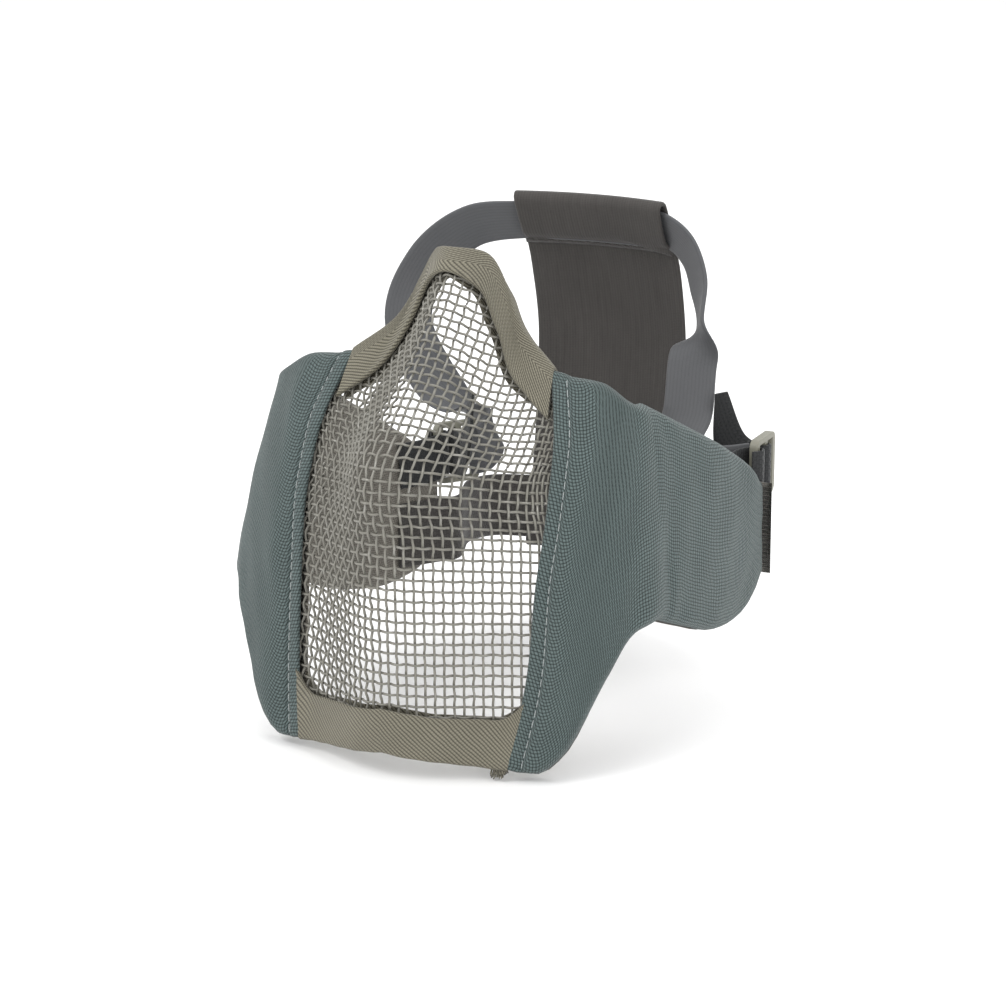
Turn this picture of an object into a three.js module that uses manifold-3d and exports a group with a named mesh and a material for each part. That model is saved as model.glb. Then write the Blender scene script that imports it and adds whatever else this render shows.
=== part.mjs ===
// A lower-half face mask: a formed wire-mesh muzzle bound with tape, padded cheeks and ear
// flaps, and a two-strap elastic harness with a wide back panel.
// Millimetres, +Z up. The mask faces -Y, the wearer's head is on the +Y side, and the wearer's
// left ear is at +X. The origin lies between the wearer's lips and nose, inside the muzzle.
import * as THREE from 'three';
import { mergeVertices } from 'three/addons/utils/BufferGeometryUtils.js';
import Module from 'manifold-3d';

const wasm = await Module();
wasm.setup();

// ---- driving dimensions -------------------------------------------------------------------
// formed front: each key is [height, value]
const faceLine = [[-66, -33], [-40, -26.5], [-15, -23.5], [0, -20], [14, -14.5],
  [22, -10.5], [31, -4.5], [49, 7], [68, 12], [75, 13]];            // cheek plane, Y
const muzzleRise = [[-66, 12], [-40, 20], [-15, 24], [0, 28], [14, 36.5],
  [22, 38.5], [31, 34], [49, 24.5], [68, 12], [75, 8]];              // muzzle and nose, ahead of it
const muzzleHalf = [[-66, 36], [-40, 40], [0, 38], [14, 34], [31, 27], [49, 18], [68, 12], [75, 10]];
const cheekSquare = 2.6;          // exponent of the rounded plan section
// steel outline: each key is [share of the half width, height]
const topEdge = [[0, 72], [0.16, 69], [0.34, 54], [0.54, 40.5], [0.83, 38.5], [1, 32]];
const bottomEdge = [[0, -60.5], [0.45, -66], [0.55, -67], [0.65, -62.5], [0.845, -40],
  [0.96, -28], [1, -27]];
// where the cheek cover's front edge crosses the steel: [share of the height, share of width]
const seamLine = [[0, 0.443], [0.25, 0.524], [0.46, 0.565], [0.66, 0.615], [0.81, 0.628], [1, 0.566]];

const creaseHalf = 60.5;          // half width at the crease, at the height of the origin
const creaseLean = -0.165;        // how the crease leans inwards per mm of height
const creaseDepth = 4;            // its Y at the height of the origin
const creaseRake = 0.183;         // how it leans back per mm of height

const earHalf = 69;             // half width at the rear end of the ear flap
const earDepth = 67;              // Y of the rear end of the ear flap
const earBow = 2;                 // outward bow of the flap
const earTop = [[0, 32], [0.27, 23.5], [0.7, 10], [0.9, 2], [1, -4]];
const earBottom = [[0, -27], [0.23, -33], [0.49, -39], [0.69, -40.5], [0.88, -37.5], [1, -32]];
const rightFlapFold = 29;          // degrees that the soft right flap has folded inwards

const steelThick = 1.2;
const coverThick = 1.2;
const liningThick = 1;
const cheekFoamThick = 2.8;
const earFoamThick = 4.5;
const layerGap = 0.45;
const creaseGap = 0.4;
const coverReach = 0.98;          // share of the cheek that its cover spans, short of the crease
const tapeThick = 1.3;

const archTape = [[0, 67.8], [11, 54.5], [20.5, 39.5], [31.5, 29.5]];  // inner edge, [x, z]
const archEdge = [[0, 71.7], [8.5, 69], [18.6, 54], [30, 40.6]];     // outer edge, [x, z]
const chinTapeWidth = 13;
const chinTapeFillet = 6;
const chinHalf = 30.8;

const strapWidth = 15;
const strapThick = 1.2;
const neckWidth = 20;
const panelHalf = 25;
const panelThick = 1.6;
const panelTop = 70;
const panelBottom = -46;
const panelCup = 4;               // how far the panel's edges come forward
const panelLine = [[-46, 116], [-2, 124], [20, 125.5], [45, 119.5], [60, 112], [70, 106]];
const hemDepth = 17;
const neckHemDepth = 23;
const hemThick = 1.2;
const hemGap = 0.6;
const splitGap = 0.3;             // between two solids of one strap
const anchorLength = 14;          // how far a neck strap's end is sewn along its flap
const neckHeight = -25;           // middle of the neck strap at the flap

const sliderWidth = 19;           // along the bars
const sliderLength = 16;
const sliderThick = 2.6;
const sliderBar = 2.2;
const sliderSlot = 15.6;
const sliderRound = 2.4;
const sliderHeight = -2;
const sliderReach = 4;          // bar of the slider behind the end of the flap
const tabWidth = 14;
const tabThick = 0.9;
const tailRise = 20;
const strandGap = 0.5;

// ---- small helpers ------------------------------------------------------------------------
const V = (x, y, z) => new THREE.Vector3(x, y, z);
const mix = (a, b, t) => a + (b - a) * t;

// A smooth curve through a few keys that never overshoots them.
function through(keys, at) {
  const last = keys.length - 1;
  if (at <= keys[0][0]) return keys[0][1];
  if (at >= keys[last][0]) return keys[last][1];
  const rise = (i) => (keys[i + 1][1] - keys[i][1]) / (keys[i + 1][0] - keys[i][0]);
  const slope = (i) => {
    if (i === 0) return rise(0);
    if (i === last) return rise(last - 1);
    const [a, b] = [rise(i - 1), rise(i)];
    return a * b > 0 ? (2 * a * b) / (a + b) : 0;
  };
  const i = keys.findIndex((k) => k[0] > at) - 1;
  const span = keys[i + 1][0] - keys[i][0];
  const t = (at - keys[i][0]) / span;
  const [t2, t3] = [t * t, t * t * t];
  return (2 * t3 - 3 * t2 + 1) * keys[i][1] + (t3 - 2 * t2 + t) * span * slope(i)
    + (3 * t2 - 2 * t3) * keys[i + 1][1] + (t3 - t2) * span * slope(i + 1);
}

// A closed body between two grids of points; front(i, j) and back(i, j) give its two faces.
function slab(rows, cols, front, back) {
  const points = [];
  const faces = [];
  const at = (side, i, j) => side * (rows + 1) * (cols + 1) + i * (cols + 1) + j;
  for (const face of [front, back]) {
    for (let i = 0; i <= rows; i += 1) {
      for (let j = 0; j <= cols; j += 1) points.push(...face(i / rows, j / cols).toArray());
    }
  }
  const quad = (a, b, c, d) => faces.push(a, b, c, a, c, d);
  for (let i = 0; i < rows; i += 1) {
    for (let j = 0; j < cols; j += 1) {
      quad(at(0, i, j), at(0, i + 1, j), at(0, i + 1, j + 1), at(0, i, j + 1));
      quad(at(1, i, j), at(1, i, j + 1), at(1, i + 1, j + 1), at(1, i + 1, j));
    }
    quad(at(0, i, 0), at(1, i, 0), at(1, i + 1, 0), at(0, i + 1, 0));
    quad(at(0, i + 1, cols), at(1, i + 1, cols), at(1, i, cols), at(0, i, cols));
  }
  for (let j = 0; j < cols; j += 1) {
    quad(at(0, 0, j + 1), at(1, 0, j + 1), at(1, 0, j), at(0, 0, j));
    quad(at(0, rows, j), at(1, rows, j), at(1, rows, j + 1), at(0, rows, j + 1));
  }
  const geometry = new THREE.BufferGeometry();
  geometry.setAttribute('position', new THREE.Float32BufferAttribute(points, 3));
  geometry.setIndex(faces);
  return outward(geometry);
}

// Turns every face round if the body is inside out.
function outward(geometry) {
  const p = geometry.attributes.position;
  const index = Array.from(geometry.index.array);
  const corner = (n) => new THREE.Vector3().fromBufferAttribute(p, n);
  let volume = 0;
  for (let k = 0; k < index.length; k += 3) {
    volume += corner(index[k]).dot(corner(index[k + 1]).cross(corner(index[k + 2])));
  }
  if (volume < 0) {
    for (let k = 0; k < index.length; k += 3) {
      [index[k + 1], index[k + 2]] = [index[k + 2], index[k + 1]];
    }
    geometry.setIndex(index);
  }
  geometry.computeVertexNormals();
  return geometry;
}

// The solid of a closed geometry, and a geometry with other closed geometries cut out of it.
function solid(geometry) {
  const bare = geometry.clone();
  for (const extra of ['normal', 'uv']) bare.deleteAttribute(extra);
  const merged = mergeVertices(bare, 1e-4);
  return new wasm.Manifold(new wasm.Mesh({
    numProp: 3,
    vertProperties: merged.attributes.position.array,
    triVerts: new Uint32Array(merged.index.array),
  }));
}

function cut(geometry, tools) {
  const mesh = tools.reduce((left, tool) => left.subtract(solid(tool)), solid(geometry)).getMesh();
  const made = new THREE.BufferGeometry();
  made.setAttribute('position', new THREE.BufferAttribute(mesh.vertProperties, 3));
  made.setIndex(Array.from(mesh.triVerts));
  return outward(made);
}

// A point lifted off a surface along its normal; hand is 1 or -1 and picks the outer side.
function lifted(surface, u, v, lift, hand) {
  const step = 1e-3;
  const u0 = Math.min(Math.max(u, step), 1 - step);
  const v0 = Math.min(Math.max(v, step), 1 - step);
  const du = surface(u0 + step, v0).sub(surface(u0 - step, v0));
  const dv = surface(u0, v0 + step).sub(surface(u0, v0 - step));
  return surface(u, v).addScaledVector(du.cross(dv).normalize(), hand * lift);
}

// A layer of a surface from one lift to another.
function layer(surface, rows, cols, outer, inner, hand) {
  return slab(rows, cols,
    (u, v) => lifted(surface, u, v, outer, hand),
    (u, v) => lifted(surface, u, v, inner, hand));
}

// A flat strap: guides are [centre, direction of its width]; from and to are shares of it.
function strapPath(guides) {
  const centre = new THREE.CatmullRomCurve3(guides.map((g) => g[0]), false, 'centripetal');
  const across = new THREE.CatmullRomCurve3(guides.map((g) => g[1]), false, 'centripetal');
  return (t, side, lift) => {
    const tangent = centre.getTangent(t);
    const wide = across.getPoint(t);
    wide.addScaledVector(tangent, -wide.dot(tangent)).normalize();
    const normal = tangent.clone().cross(wide).normalize();
    return centre.getPoint(t).addScaledVector(wide, side).addScaledVector(normal, lift);
  };
}

function strap(path, from, to, width, thick, steps) {
  const half = typeof width === 'function' ? (t) => width(t) / 2 : () => width / 2;
  const face = (lift) => (u, v) => path(mix(from, to, v), mix(-1, 1, u) * half(v), lift);
  return slab(1, steps, face(thick / 2), face(-thick / 2));
}

// ---- the formed front ---------------------------------------------------------------------
const halfAt = (z) => creaseHalf + creaseLean * z;
const creaseY = (z) => creaseDepth + creaseRake * z;

function frontPoint(share, z) {
  const r = Math.min(Math.abs(share), 1);
  const x = halfAt(z) * r;
  const plane = through(faceLine, z);
  const turn = 1 - (1 - r ** cheekSquare) ** (1 / cheekSquare);
  const q = Math.min(x / through(muzzleHalf, z), 1);
  const rise = through(muzzleRise, z) * Math.cos((q * Math.PI) / 2) ** 2;
  return V(Math.sign(share) * x, plane + (creaseY(z) - plane) * turn - rise, z);
}

const rowHeight = (share, v) => mix(through(bottomEdge, Math.abs(share)),
  through(topEdge, Math.abs(share)), v);
const formed = (share, v) => frontPoint(share, rowHeight(share, v));
const byX = (x, z) => frontPoint(x / halfAt(z), z);

// the cheek from its seam (u = 0) to the crease (u = 1), from the jaw (v = 0) upwards
const cheek = (side) => (u, v) => {
  const turn = Math.sin((u * Math.PI) / 2);
  return formed(side * mix(through(seamLine, v), 1, turn), v);
};

// the whole steel from one crease to the other, with the cheeks' own rows and columns
const wingShare = 1 / 6;
const steel = (u, v) => {
  const seam = through(seamLine, v);
  if (u < wingShare) return cheek(-1)(1 - u / wingShare, v);
  if (u > 1 - wingShare) return cheek(1)((u - 1 + wingShare) / wingShare, v);
  return formed(mix(-seam, seam, (u - wingShare) / (1 - 2 * wingShare)), v);
};

function archStrip(u, v) {
  const q = Math.abs(2 * u - 1) * 3;
  const pick = (keys, k) => through(keys.map((p, n) => [n, p[k]]), q);
  const x = Math.sign(2 * u - 1) * mix(pick(archTape, 0), pick(archEdge, 0), v);
  return byX(x, mix(pick(archTape, 1), pick(archEdge, 1), v));
}

function chinStrip(u, v) {
  const x = mix(-chinHalf, chinHalf, u);
  const low = through(bottomEdge, Math.abs(x) / halfAt(panelBottom)) + 0.3;
  const corner = Math.max(0, (Math.abs(x) - chinHalf + 2 * chinTapeFillet) / (2 * chinTapeFillet));
  const high = low + chinTapeWidth + chinTapeFillet * corner ** 2;
  return byX(x, mix(low, high, v));
}

// ---- ear flaps ----------------------------------------------------------------------------
const padLift = layerGap + coverThick;
const hingeLift = -earFoamThick / 2;
const hingeBack = creaseGap + earFoamThick / 2;

// the left flap's outer surface; d is the distance behind the crease
function flapPoint(d, v) {
  const s = Math.min(Math.max(d / (earDepth - creaseDepth), 0), 1);
  const z = mix(through(earBottom, s), through(earTop, s), v);
  const x = mix(halfAt(z), earHalf, s) + earBow * Math.sin(Math.PI * s);
  return V(x, mix(creaseY(z), earDepth, s), z);
}
const flapLength = earDepth - creaseDepth;
const flap = (start) => (u, v) => flapPoint(mix(start, flapLength, u), v);

// the flap's foam: its front end is rounded about the hinge line, so it turns in place
function earFoam() {
  const tip = 0.15;
  const roll = earFoamThick / 2;
  const surface = flap(creaseGap);
  const cols = 14;
  const tipCols = 4;
  const tipShare = roll / (flapLength - creaseGap);
  const along = (u) => {
    const n = u * cols;
    if (n <= tipCols) return tipShare * (1 - Math.cos((n / tipCols) * (Math.PI / 2)));
    return mix(tipShare, 1, (n - tipCols) / (cols - tipCols));
  };
  const half = (u) => {
    const n = Math.min((u * cols) / tipCols, 1);
    return Math.max(tip, roll * Math.sin((n * Math.PI) / 2));
  };
  return slab(cols, 7,
    (u, v) => lifted(surface, along(u), v, hingeLift + half(u), 1),
    (u, v) => lifted(surface, along(u), v, hingeLift - half(u), 1));
}

const hingePoint = (z) => V(halfAt(z) + hingeLift, creaseY(z) + hingeBack, z);
const hingeAxis = hingePoint(1).sub(hingePoint(0)).normalize();
const hinge = hingePoint(0);

// A point of the left flap carried to where that side's flap lies.
function onSide(side, point) {
  if (side > 0) return point.clone();
  const turned = point.clone().sub(hinge);
  turned.applyAxisAngle(hingeAxis, THREE.MathUtils.degToRad(rightFlapFold)).add(hinge);
  return turned.multiply(V(-1, 1, 1));
}

// A direction of the left flap, carried in the same way.
function alongSide(side, way) {
  return onSide(side, hinge.clone().add(way)).sub(onSide(side, hinge));
}

// ---- slider and its tab -------------------------------------------------------------------
const sliderX = earHalf + hingeLift;
const sliderBarY = earDepth + sliderReach;
const middleBar = (sliderLength - sliderBar) / 2;           // from the first bar to the middle one
const strandStep = (sliderBar + strapThick) / 2 + strandGap; // from the middle bar to a strand

// Where a strand leaves the slider's inner face, ahead of its middle bar (-1) or behind it (1).
function strandPoint(way, clear) {
  return V(sliderX - sliderThick / 2 - clear, sliderBarY + middleBar + way * strandStep, sliderHeight);
}

function roundedOutline(halfLong, halfWide, round) {
  const points = [];
  for (const [n, [x, y]] of [[1, -1], [1, 1], [-1, 1], [-1, -1]].entries()) {
    for (let k = 0; k <= 4; k += 1) {
      const turn = (n - 1 + k / 4) * (Math.PI / 2);
      points.push(new THREE.Vector2(x * (halfLong - round) + round * Math.cos(turn),
        y * (halfWide - round) + round * Math.sin(turn)));
    }
  }
  return points;
}

function sliderGeometry() {
  const [halfLong, halfWide] = [sliderLength / 2, sliderWidth / 2];
  const outline = new THREE.Shape(roundedOutline(halfLong, halfWide, sliderRound));
  const plate = new THREE.ExtrudeGeometry(outline, { depth: sliderThick, bevelEnabled: false });
  plate.translate(0, 0, -sliderThick / 2);
  const slotLong = (sliderLength - 3 * sliderBar) / 2;
  const slots = [-1, 1].map((way) => new THREE.BoxGeometry(slotLong, sliderSlot, 2 * sliderThick)
    .translate((way * (sliderBar + slotLong)) / 2, 0, 0));
  const framed = cut(plate, slots);
  // length along Y, width along Z, thickness along X; the first bar is on the origin
  framed.applyMatrix4(new THREE.Matrix4().makeBasis(V(0, 1, 0), V(0, 0, 1), V(1, 0, 0)));
  return framed.translate(0, halfLong - sliderBar / 2, 0);
}

// The sewn loop that holds the slider's first bar.
function tabGeometry() {
  const wrap = Math.hypot(sliderThick, sliderBar) / 2 + strandGap + tabThick / 2;
  const inside = flapPoint(flapLength - 12, 0.5).x + hingeLift * 2 - layerGap - liningThick;
  const sewn = inside - layerGap - tabThick;
  const up = V(0, 0, 1);
  const turn = [-0.5, -0.1, 0.3, 0.7, 1.1].map((a) => [
    V(sliderX + wrap * Math.cos(a * Math.PI * 0.9), sliderBarY + wrap * Math.sin(a * Math.PI * 0.9),
      sliderHeight), up]);
  const path = strapPath([
    [V(sliderX + wrap * 0.2, earDepth + 0.8, sliderHeight), up],
    ...turn.slice(1, 4),
    [V(sewn + 0.5, earDepth + 2, sliderHeight), up],
    [V(sewn, earDepth - 5, sliderHeight - 1), up],
    [V(sewn - 0.4, earDepth - 15, sliderHeight - 1.5), up],
  ]);
  return strap(path, 0, 1, tabWidth, tabThick, 20);
}

// ---- harness ------------------------------------------------------------------------------
function panelPoint(x, z) {
  return V(x, through(panelLine, z) - panelCup * (x / panelHalf) ** 2, z);
}
const panelFace = (low, high) => (u, v) => panelPoint(mix(-panelHalf, panelHalf, u), mix(low, high, v));

// a point on the wearer's side of the panel, in the middle of the strap that runs there
function inPanel(x, z) {
  const surface = panelFace(panelBottom, panelTop);
  const [u, v] = [(x + panelHalf) / (2 * panelHalf), (z - panelBottom) / (panelTop - panelBottom)];
  return lifted(surface, u, v, hemGap + strapThick / 2, 1);
}
const upPanel = (z) => panelPoint(0, z + 1).sub(panelPoint(0, z - 1)).normalize();

const crownHeight = panelTop - hemDepth / 2 - 0.2;
const neckRear = panelBottom + neckHemDepth / 2;

function crownGuides(side) {
  const slot = onSide(side, strandPoint(-side, strandGap + strapThick / 2));
  const exit = inPanel(side * panelHalf, crownHeight);
  const near = (x, y, z) => slot.clone().add(alongSide(side, V(x, y, z)));
  const far = (x, y, z) => exit.clone().add(V(side * x, y, z));
  const up = upPanel(crownHeight);
  if (side > 0) {
    return [
      [slot, alongSide(side, V(0, 0, 1))],
      [near(-7, -2.2, -1), V(0.05, 0, 1)],
      [near(-16, -4.5, -1), V(0.4, 0.1, 0.9)],
      [near(-22, -2, 6), V(0.75, 0.3, 0.55)],
      [near(-22.5, 5, 14), V(0.9, 0.4, 0.05)],
      [far(15.5, -18, -36), V(0.9, 0.35, -0.1)],
      [far(15.5, -12, -25), V(0.4, -0.86, 0.3)],
      [far(13, -7, -14), V(0.5, -0.6, 0.6)],
      [far(8, -3, -5), V(0.2, -0.45, 0.87)],
      [exit, up],
    ];
  }
  return [
    [slot, alongSide(side, V(0, 0, 1))],
    [near(-2.6, 4.5, 1), alongSide(side, V(0, 0, 1))],
    [near(-0.5, 10.2, 6), V(-0.3, -0.1, 0.9)],
    [far(11.5, -20.3, -57), V(-0.8, -0.4, 0.4)],
    [far(22.5, -18.3, -48), V(-0.85, -0.4, 0.05)],
    [far(31.5, -16.3, -31), V(-0.85, -0.3, 0.2)],
    [far(29, -7.3, -15), V(-0.3, -0.2, 0.9)],
    [far(16, -2.5, -3), V(0, -0.35, 0.92)],
    [exit, up],
  ];
}

function neckGuides(side) {
  const sewnLift = -earFoamThick - 2 * layerGap - liningThick - strapThick / 2;
  const middle = (d) => {
    const s = d / flapLength;
    const [low, high] = [through(earBottom, s), through(earTop, s)];
    return lifted(flap(0), s, (neckHeight - low) / (high - low), sewnLift, 1);
  };
  const rear = flapPoint(flapLength - anchorLength / 2, 0.6);
  const up = alongSide(side, rear.sub(flapPoint(flapLength - anchorLength / 2, 0.4)).normalize());
  const start = onSide(side, middle(flapLength - anchorLength));
  const end = onSide(side, middle(flapLength - 1));
  const out = end.clone().sub(start).normalize();
  const exit = inPanel(side * panelHalf, neckRear);
  const bow = 6;
  const half = end.clone().lerp(exit, 0.5).add(V(side * bow, 2, 1));
  return [
    [start, up],
    [start.clone().lerp(end, 0.5), up],
    [end, up],
    [end.clone().addScaledVector(out, 8), up],
    [half, up],
    [exit.clone().add(V(side * 9, -4.6, 0.5)), up],
    [exit, upPanel(neckRear)],
  ];
}

// One strap from the wearer's left side through the panel to the right side, as three solids.
function strapSolids(guidesOf, height, width, keep) {
  const inside = [0.5, 0, -0.5].map((x) => [inPanel(x * panelHalf, height), upPanel(height)]);
  const [left, right] = [guidesOf(1), guidesOf(-1)];
  const guides = [...left, ...inside, ...right.reverse()];
  const path = strapPath(guides);
  const spans = guides.length - 1;
  const length = new THREE.CatmullRomCurve3(guides.map((g) => g[0]), false, 'centripetal').getLength();
  const gap = splitGap / length;
  const [first, second] = [keep[0] / spans, 1 - keep[1] / spans];
  return {
    left: strap(path, 0, first - gap, width, strapThick, 22),
    middle: strap(path, first, second, width, strapThick, 52),
    right: strap(path, second + gap, 1, width, strapThick, 22),
  };
}

function tailGeometry(side) {
  const start = strandPoint(side, strandGap + 0.3);
  const near = (x, y, z) => start.clone().add(V(x, y, z));
  const path = strapPath([
    [start, V(0, 0, 1)],
    [near(-5, side * 1.5, -0.5), V(0.1, 0.1, 1)],
    [near(-10, side * 3, 5), V(0.9, 0.4, 0.5)],
    [near(-13, side * 2.5, tailRise), V(0.9, 0.4, 0.1)],
  ]);
  const width = (t) => (t < 0.55 ? strapWidth - 2 : mix(strapWidth - 2, 3, (t - 0.55) / 0.45));
  return strap(path, 0, 1, width, strapThick, 14);
}

// ---- materials ----------------------------------------------------------------------------
const finish = (name, color, roughness, metalness = 0) => new THREE.MeshStandardMaterial({
  name, color, roughness, metalness,
});
const finishes = {
  mesh: finish('painted_steel', '#8c897c', 0.5, 0.35),
  tape: finish('ribbed_tape', '#77745f', 0.85),
  cover: finish('woven_cover', '#5b696a', 0.9),
  foam: finish('foam', '#54524c', 0.95),
  lining: finish('lining', '#7a746a', 0.95),
  panel: finish('panel_elastic', '#46433f', 0.9),
  strap: finish('strap_elastic', '#6d7072', 0.85),
  dark: finish('dark_webbing', '#2b2e2e', 0.9),
  plastic: finish('moulded_plastic', '#7d8177', 0.45),
};

// ---- assembly -----------------------------------------------------------------------------
const group = new THREE.Group();

function add(parent, name, geometry, material) {
  const mesh = new THREE.Mesh(geometry, material);
  mesh.name = name;
  parent.add(mesh);
  return mesh;
}

// A copy on the other side of the mask, with its faces still pointing out.
function mirrored(geometry) {
  return outward(geometry.clone().applyMatrix4(new THREE.Matrix4().makeScale(-1, 1, 1)));
}

function addFront() {
  add(group, 'wire_mesh_shell', layer(steel, 36, 20, 0, -steelThick, 1), finishes.mesh);
  const [low, high] = [layerGap, layerGap + tapeThick];
  add(group, 'nose_binding', layer(archStrip, 36, 3, high, low, 1), finishes.tape);
  add(group, 'chin_binding', layer(chinStrip, 24, 3, high, low, 1), finishes.tape);
}

function addCheek(side, word) {
  const foamTop = -steelThick - layerGap;
  const liningTop = foamTop - cheekFoamThick - layerGap;
  const hand = side;
  const body = (outer, inner) => layer(cheek(side), 6, 10, outer, inner, hand);
  const covered = (u, v) => cheek(side)(u * coverReach, v);
  add(group, `${word}_cheek_cover`, layer(covered, 6, 10, padLift, layerGap, hand), finishes.cover);
  add(group, `${word}_cheek_foam`, body(foamTop, foamTop - cheekFoamThick), finishes.foam);
  add(group, `${word}_cheek_lining`, body(liningTop, liningTop - liningThick), finishes.lining);
}

// A flap hangs on its hinge line; the right one is drawn folded.
function addFlap(side, word) {
  const pivot = new THREE.Group();
  pivot.position.set(side * hinge.x, hinge.y, hinge.z);
  if (side < 0) {
    const axis = V(-hingeAxis.x, hingeAxis.y, hingeAxis.z);
    pivot.quaternion.setFromAxisAngle(axis, -THREE.MathUtils.degToRad(rightFlapFold));
  }
  group.add(pivot);
  const place = (geometry) => {
    const own = side > 0 ? geometry : mirrored(geometry);
    return own.translate(-side * hinge.x, -hinge.y, -hinge.z);
  };
  const liningTop = -earFoamThick - layerGap;
  const cover = layer(flap(hingeBack), 10, 7, padLift, layerGap, 1);
  const lining = layer(flap(hingeBack), 10, 7, liningTop, liningTop - liningThick, 1);
  add(pivot, `${word}_ear_cover`, place(cover), finishes.cover);
  add(pivot, `${word}_ear_foam`, place(earFoam()), finishes.foam);
  add(pivot, `${word}_ear_lining`, place(lining), finishes.lining);
  add(pivot, `${word}_slider_tab`, place(tabGeometry()), finishes.dark);
  add(pivot, `${word}_strap_tail`, place(tailGeometry(side)), finishes.dark);
  const slider = add(pivot, `${word}_slider`, sliderGeometry(), finishes.plastic);
  slider.position.set(side * (sliderX - hinge.x), sliderBarY - hinge.y, sliderHeight - hinge.z);
}

function addHarness() {
  const back = panelFace(panelBottom, panelTop);
  const hem = hemGap + strapThick + hemGap;
  const shell = (surface, rows, near, far) => layer(surface, 8, rows, near, far, 1);
  add(group, 'back_panel', shell(back, 14, 0, -panelThick), finishes.panel);
  add(group, 'crown_hem', shell(panelFace(panelTop - hemDepth, panelTop), 4, hem + hemThick, hem),
    finishes.panel);
  add(group, 'neck_hem', shell(panelFace(panelBottom, panelBottom + neckHemDepth), 4,
    hem + hemThick, hem), finishes.panel);
  const crown = strapSolids(crownGuides, crownHeight, strapWidth, [5, 4]);
  add(group, 'left_crown_strap_end', crown.left, finishes.strap);
  add(group, 'crown_strap', crown.middle, finishes.strap);
  add(group, 'right_crown_strap_end', crown.right, finishes.strap);
  const neck = strapSolids(neckGuides, neckRear, neckWidth, [4, 4]);
  add(group, 'left_neck_strap_end', neck.left, finishes.dark);
  add(group, 'neck_strap', neck.middle, finishes.dark);
  add(group, 'right_neck_strap_end', neck.right, finishes.dark);
}

addFront();
for (const [side, word] of [[1, 'left'], [-1, 'right']]) {
  addCheek(side, word);
  addFlap(side, word);
}
addHarness();

export default group;
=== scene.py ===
"""Half face mask: woven wire muzzle, bound edges, padded cheeks and an elastic harness.

Lengths inside the shape functions are millimetres; meshes are made in metres.
The wearer's left side is +X, the mask faces -Y and +Z is up."""
import math

import bpy
import numpy as np
from mathutils import Matrix, Vector


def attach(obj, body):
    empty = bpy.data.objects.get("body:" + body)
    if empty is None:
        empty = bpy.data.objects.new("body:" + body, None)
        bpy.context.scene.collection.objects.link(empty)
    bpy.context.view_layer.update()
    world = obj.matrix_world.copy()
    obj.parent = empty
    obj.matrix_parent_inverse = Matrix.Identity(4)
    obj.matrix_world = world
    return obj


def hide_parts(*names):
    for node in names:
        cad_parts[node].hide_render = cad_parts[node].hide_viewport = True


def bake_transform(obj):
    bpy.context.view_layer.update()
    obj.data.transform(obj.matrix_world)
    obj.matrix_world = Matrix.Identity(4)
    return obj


bl_info = {
    "name": "Half face mask",
    "version": (1, 0, 0),
    "blender": (4, 5, 0),
    "location": "3D View > Sidebar > Face mask",
    "description": "Builds the wires, tapes, pads, sliders and straps of a half face mask",
    "category": "Add Mesh",
}

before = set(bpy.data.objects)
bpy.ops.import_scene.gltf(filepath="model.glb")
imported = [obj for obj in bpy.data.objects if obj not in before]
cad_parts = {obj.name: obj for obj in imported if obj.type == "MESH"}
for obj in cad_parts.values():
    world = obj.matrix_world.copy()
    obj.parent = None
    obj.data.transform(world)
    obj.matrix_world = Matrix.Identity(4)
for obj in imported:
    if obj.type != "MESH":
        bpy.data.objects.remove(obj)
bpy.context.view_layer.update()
MM = 0.001
SIDES = ((1, "left"), (-1, "right"))
UP = Vector((0, 0, 1))

# ---- shape of the formed front: [height or share, value] ------------------------------------
FACE_LINE = ((-66, -33), (-40, -26.5), (-15, -23.5), (0, -20), (14, -14.5),
             (22, -10.5), (31, -4.5), (49, 7), (68, 12), (75, 13))
MUZZLE_RISE = ((-66, 12), (-40, 20), (-15, 24), (0, 28), (14, 36.5),
               (22, 38.5), (31, 34), (49, 24.5), (68, 12), (75, 8))
MUZZLE_HALF = ((-66, 36), (-40, 40), (0, 38), (14, 34), (31, 27), (49, 18), (68, 12), (75, 10))
CHEEK_SQUARE = 2.6
TOP_EDGE = ((0, 72), (0.16, 69), (0.34, 54), (0.54, 40.5), (0.83, 38.5), (1, 32))
BOTTOM_EDGE = ((0, -60.5), (0.45, -66), (0.55, -67), (0.65, -62.5), (0.845, -40),
               (0.96, -28), (1, -27))
SEAM_LINE = ((0, 0.443), (0.25, 0.524), (0.46, 0.565), (0.66, 0.615), (0.81, 0.628), (1, 0.566))
CREASE_HALF, CREASE_LEAN, CREASE_DEPTH, CREASE_RAKE = 60.5, -0.165, 4.0, 0.183
EAR_HALF, EAR_DEPTH, EAR_BOW = 69.0, 67.0, 2.0
EAR_TOP = ((0, 32), (0.27, 23.5), (0.7, 10), (0.9, 2), (1, -4))
EAR_BOTTOM = ((0, -27), (0.23, -33), (0.49, -39), (0.69, -40.5), (0.88, -37.5), (1, -32))
RIGHT_FOLD = math.radians(29)
CHIN_TAPE, CHIN_FILLET, CHIN_HALF, CHIN_LEVEL = 12.5, 6.0, 30.8, -46.0
TUCK = 0.7                  # how far the chin tape goes under the covers

# lifts from the formed surface
STEEL_MID = -0.6            # the wires' middle
TAPE_SEAT, TAPE_BACK = 0.35, -1.6   # the two faces that a tape is folded on to
PAD_TOP, PAD_LINING, PAD_BACK = 1.65, -4.85, -5.9
FOAM_THICK, LINING_THICK, LAYER_GAP, PAD_TALL = 4.5, 1.0, 0.45, 92.0
HINGE_LIFT, HINGE_BACK = -2.25, 2.65

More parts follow.
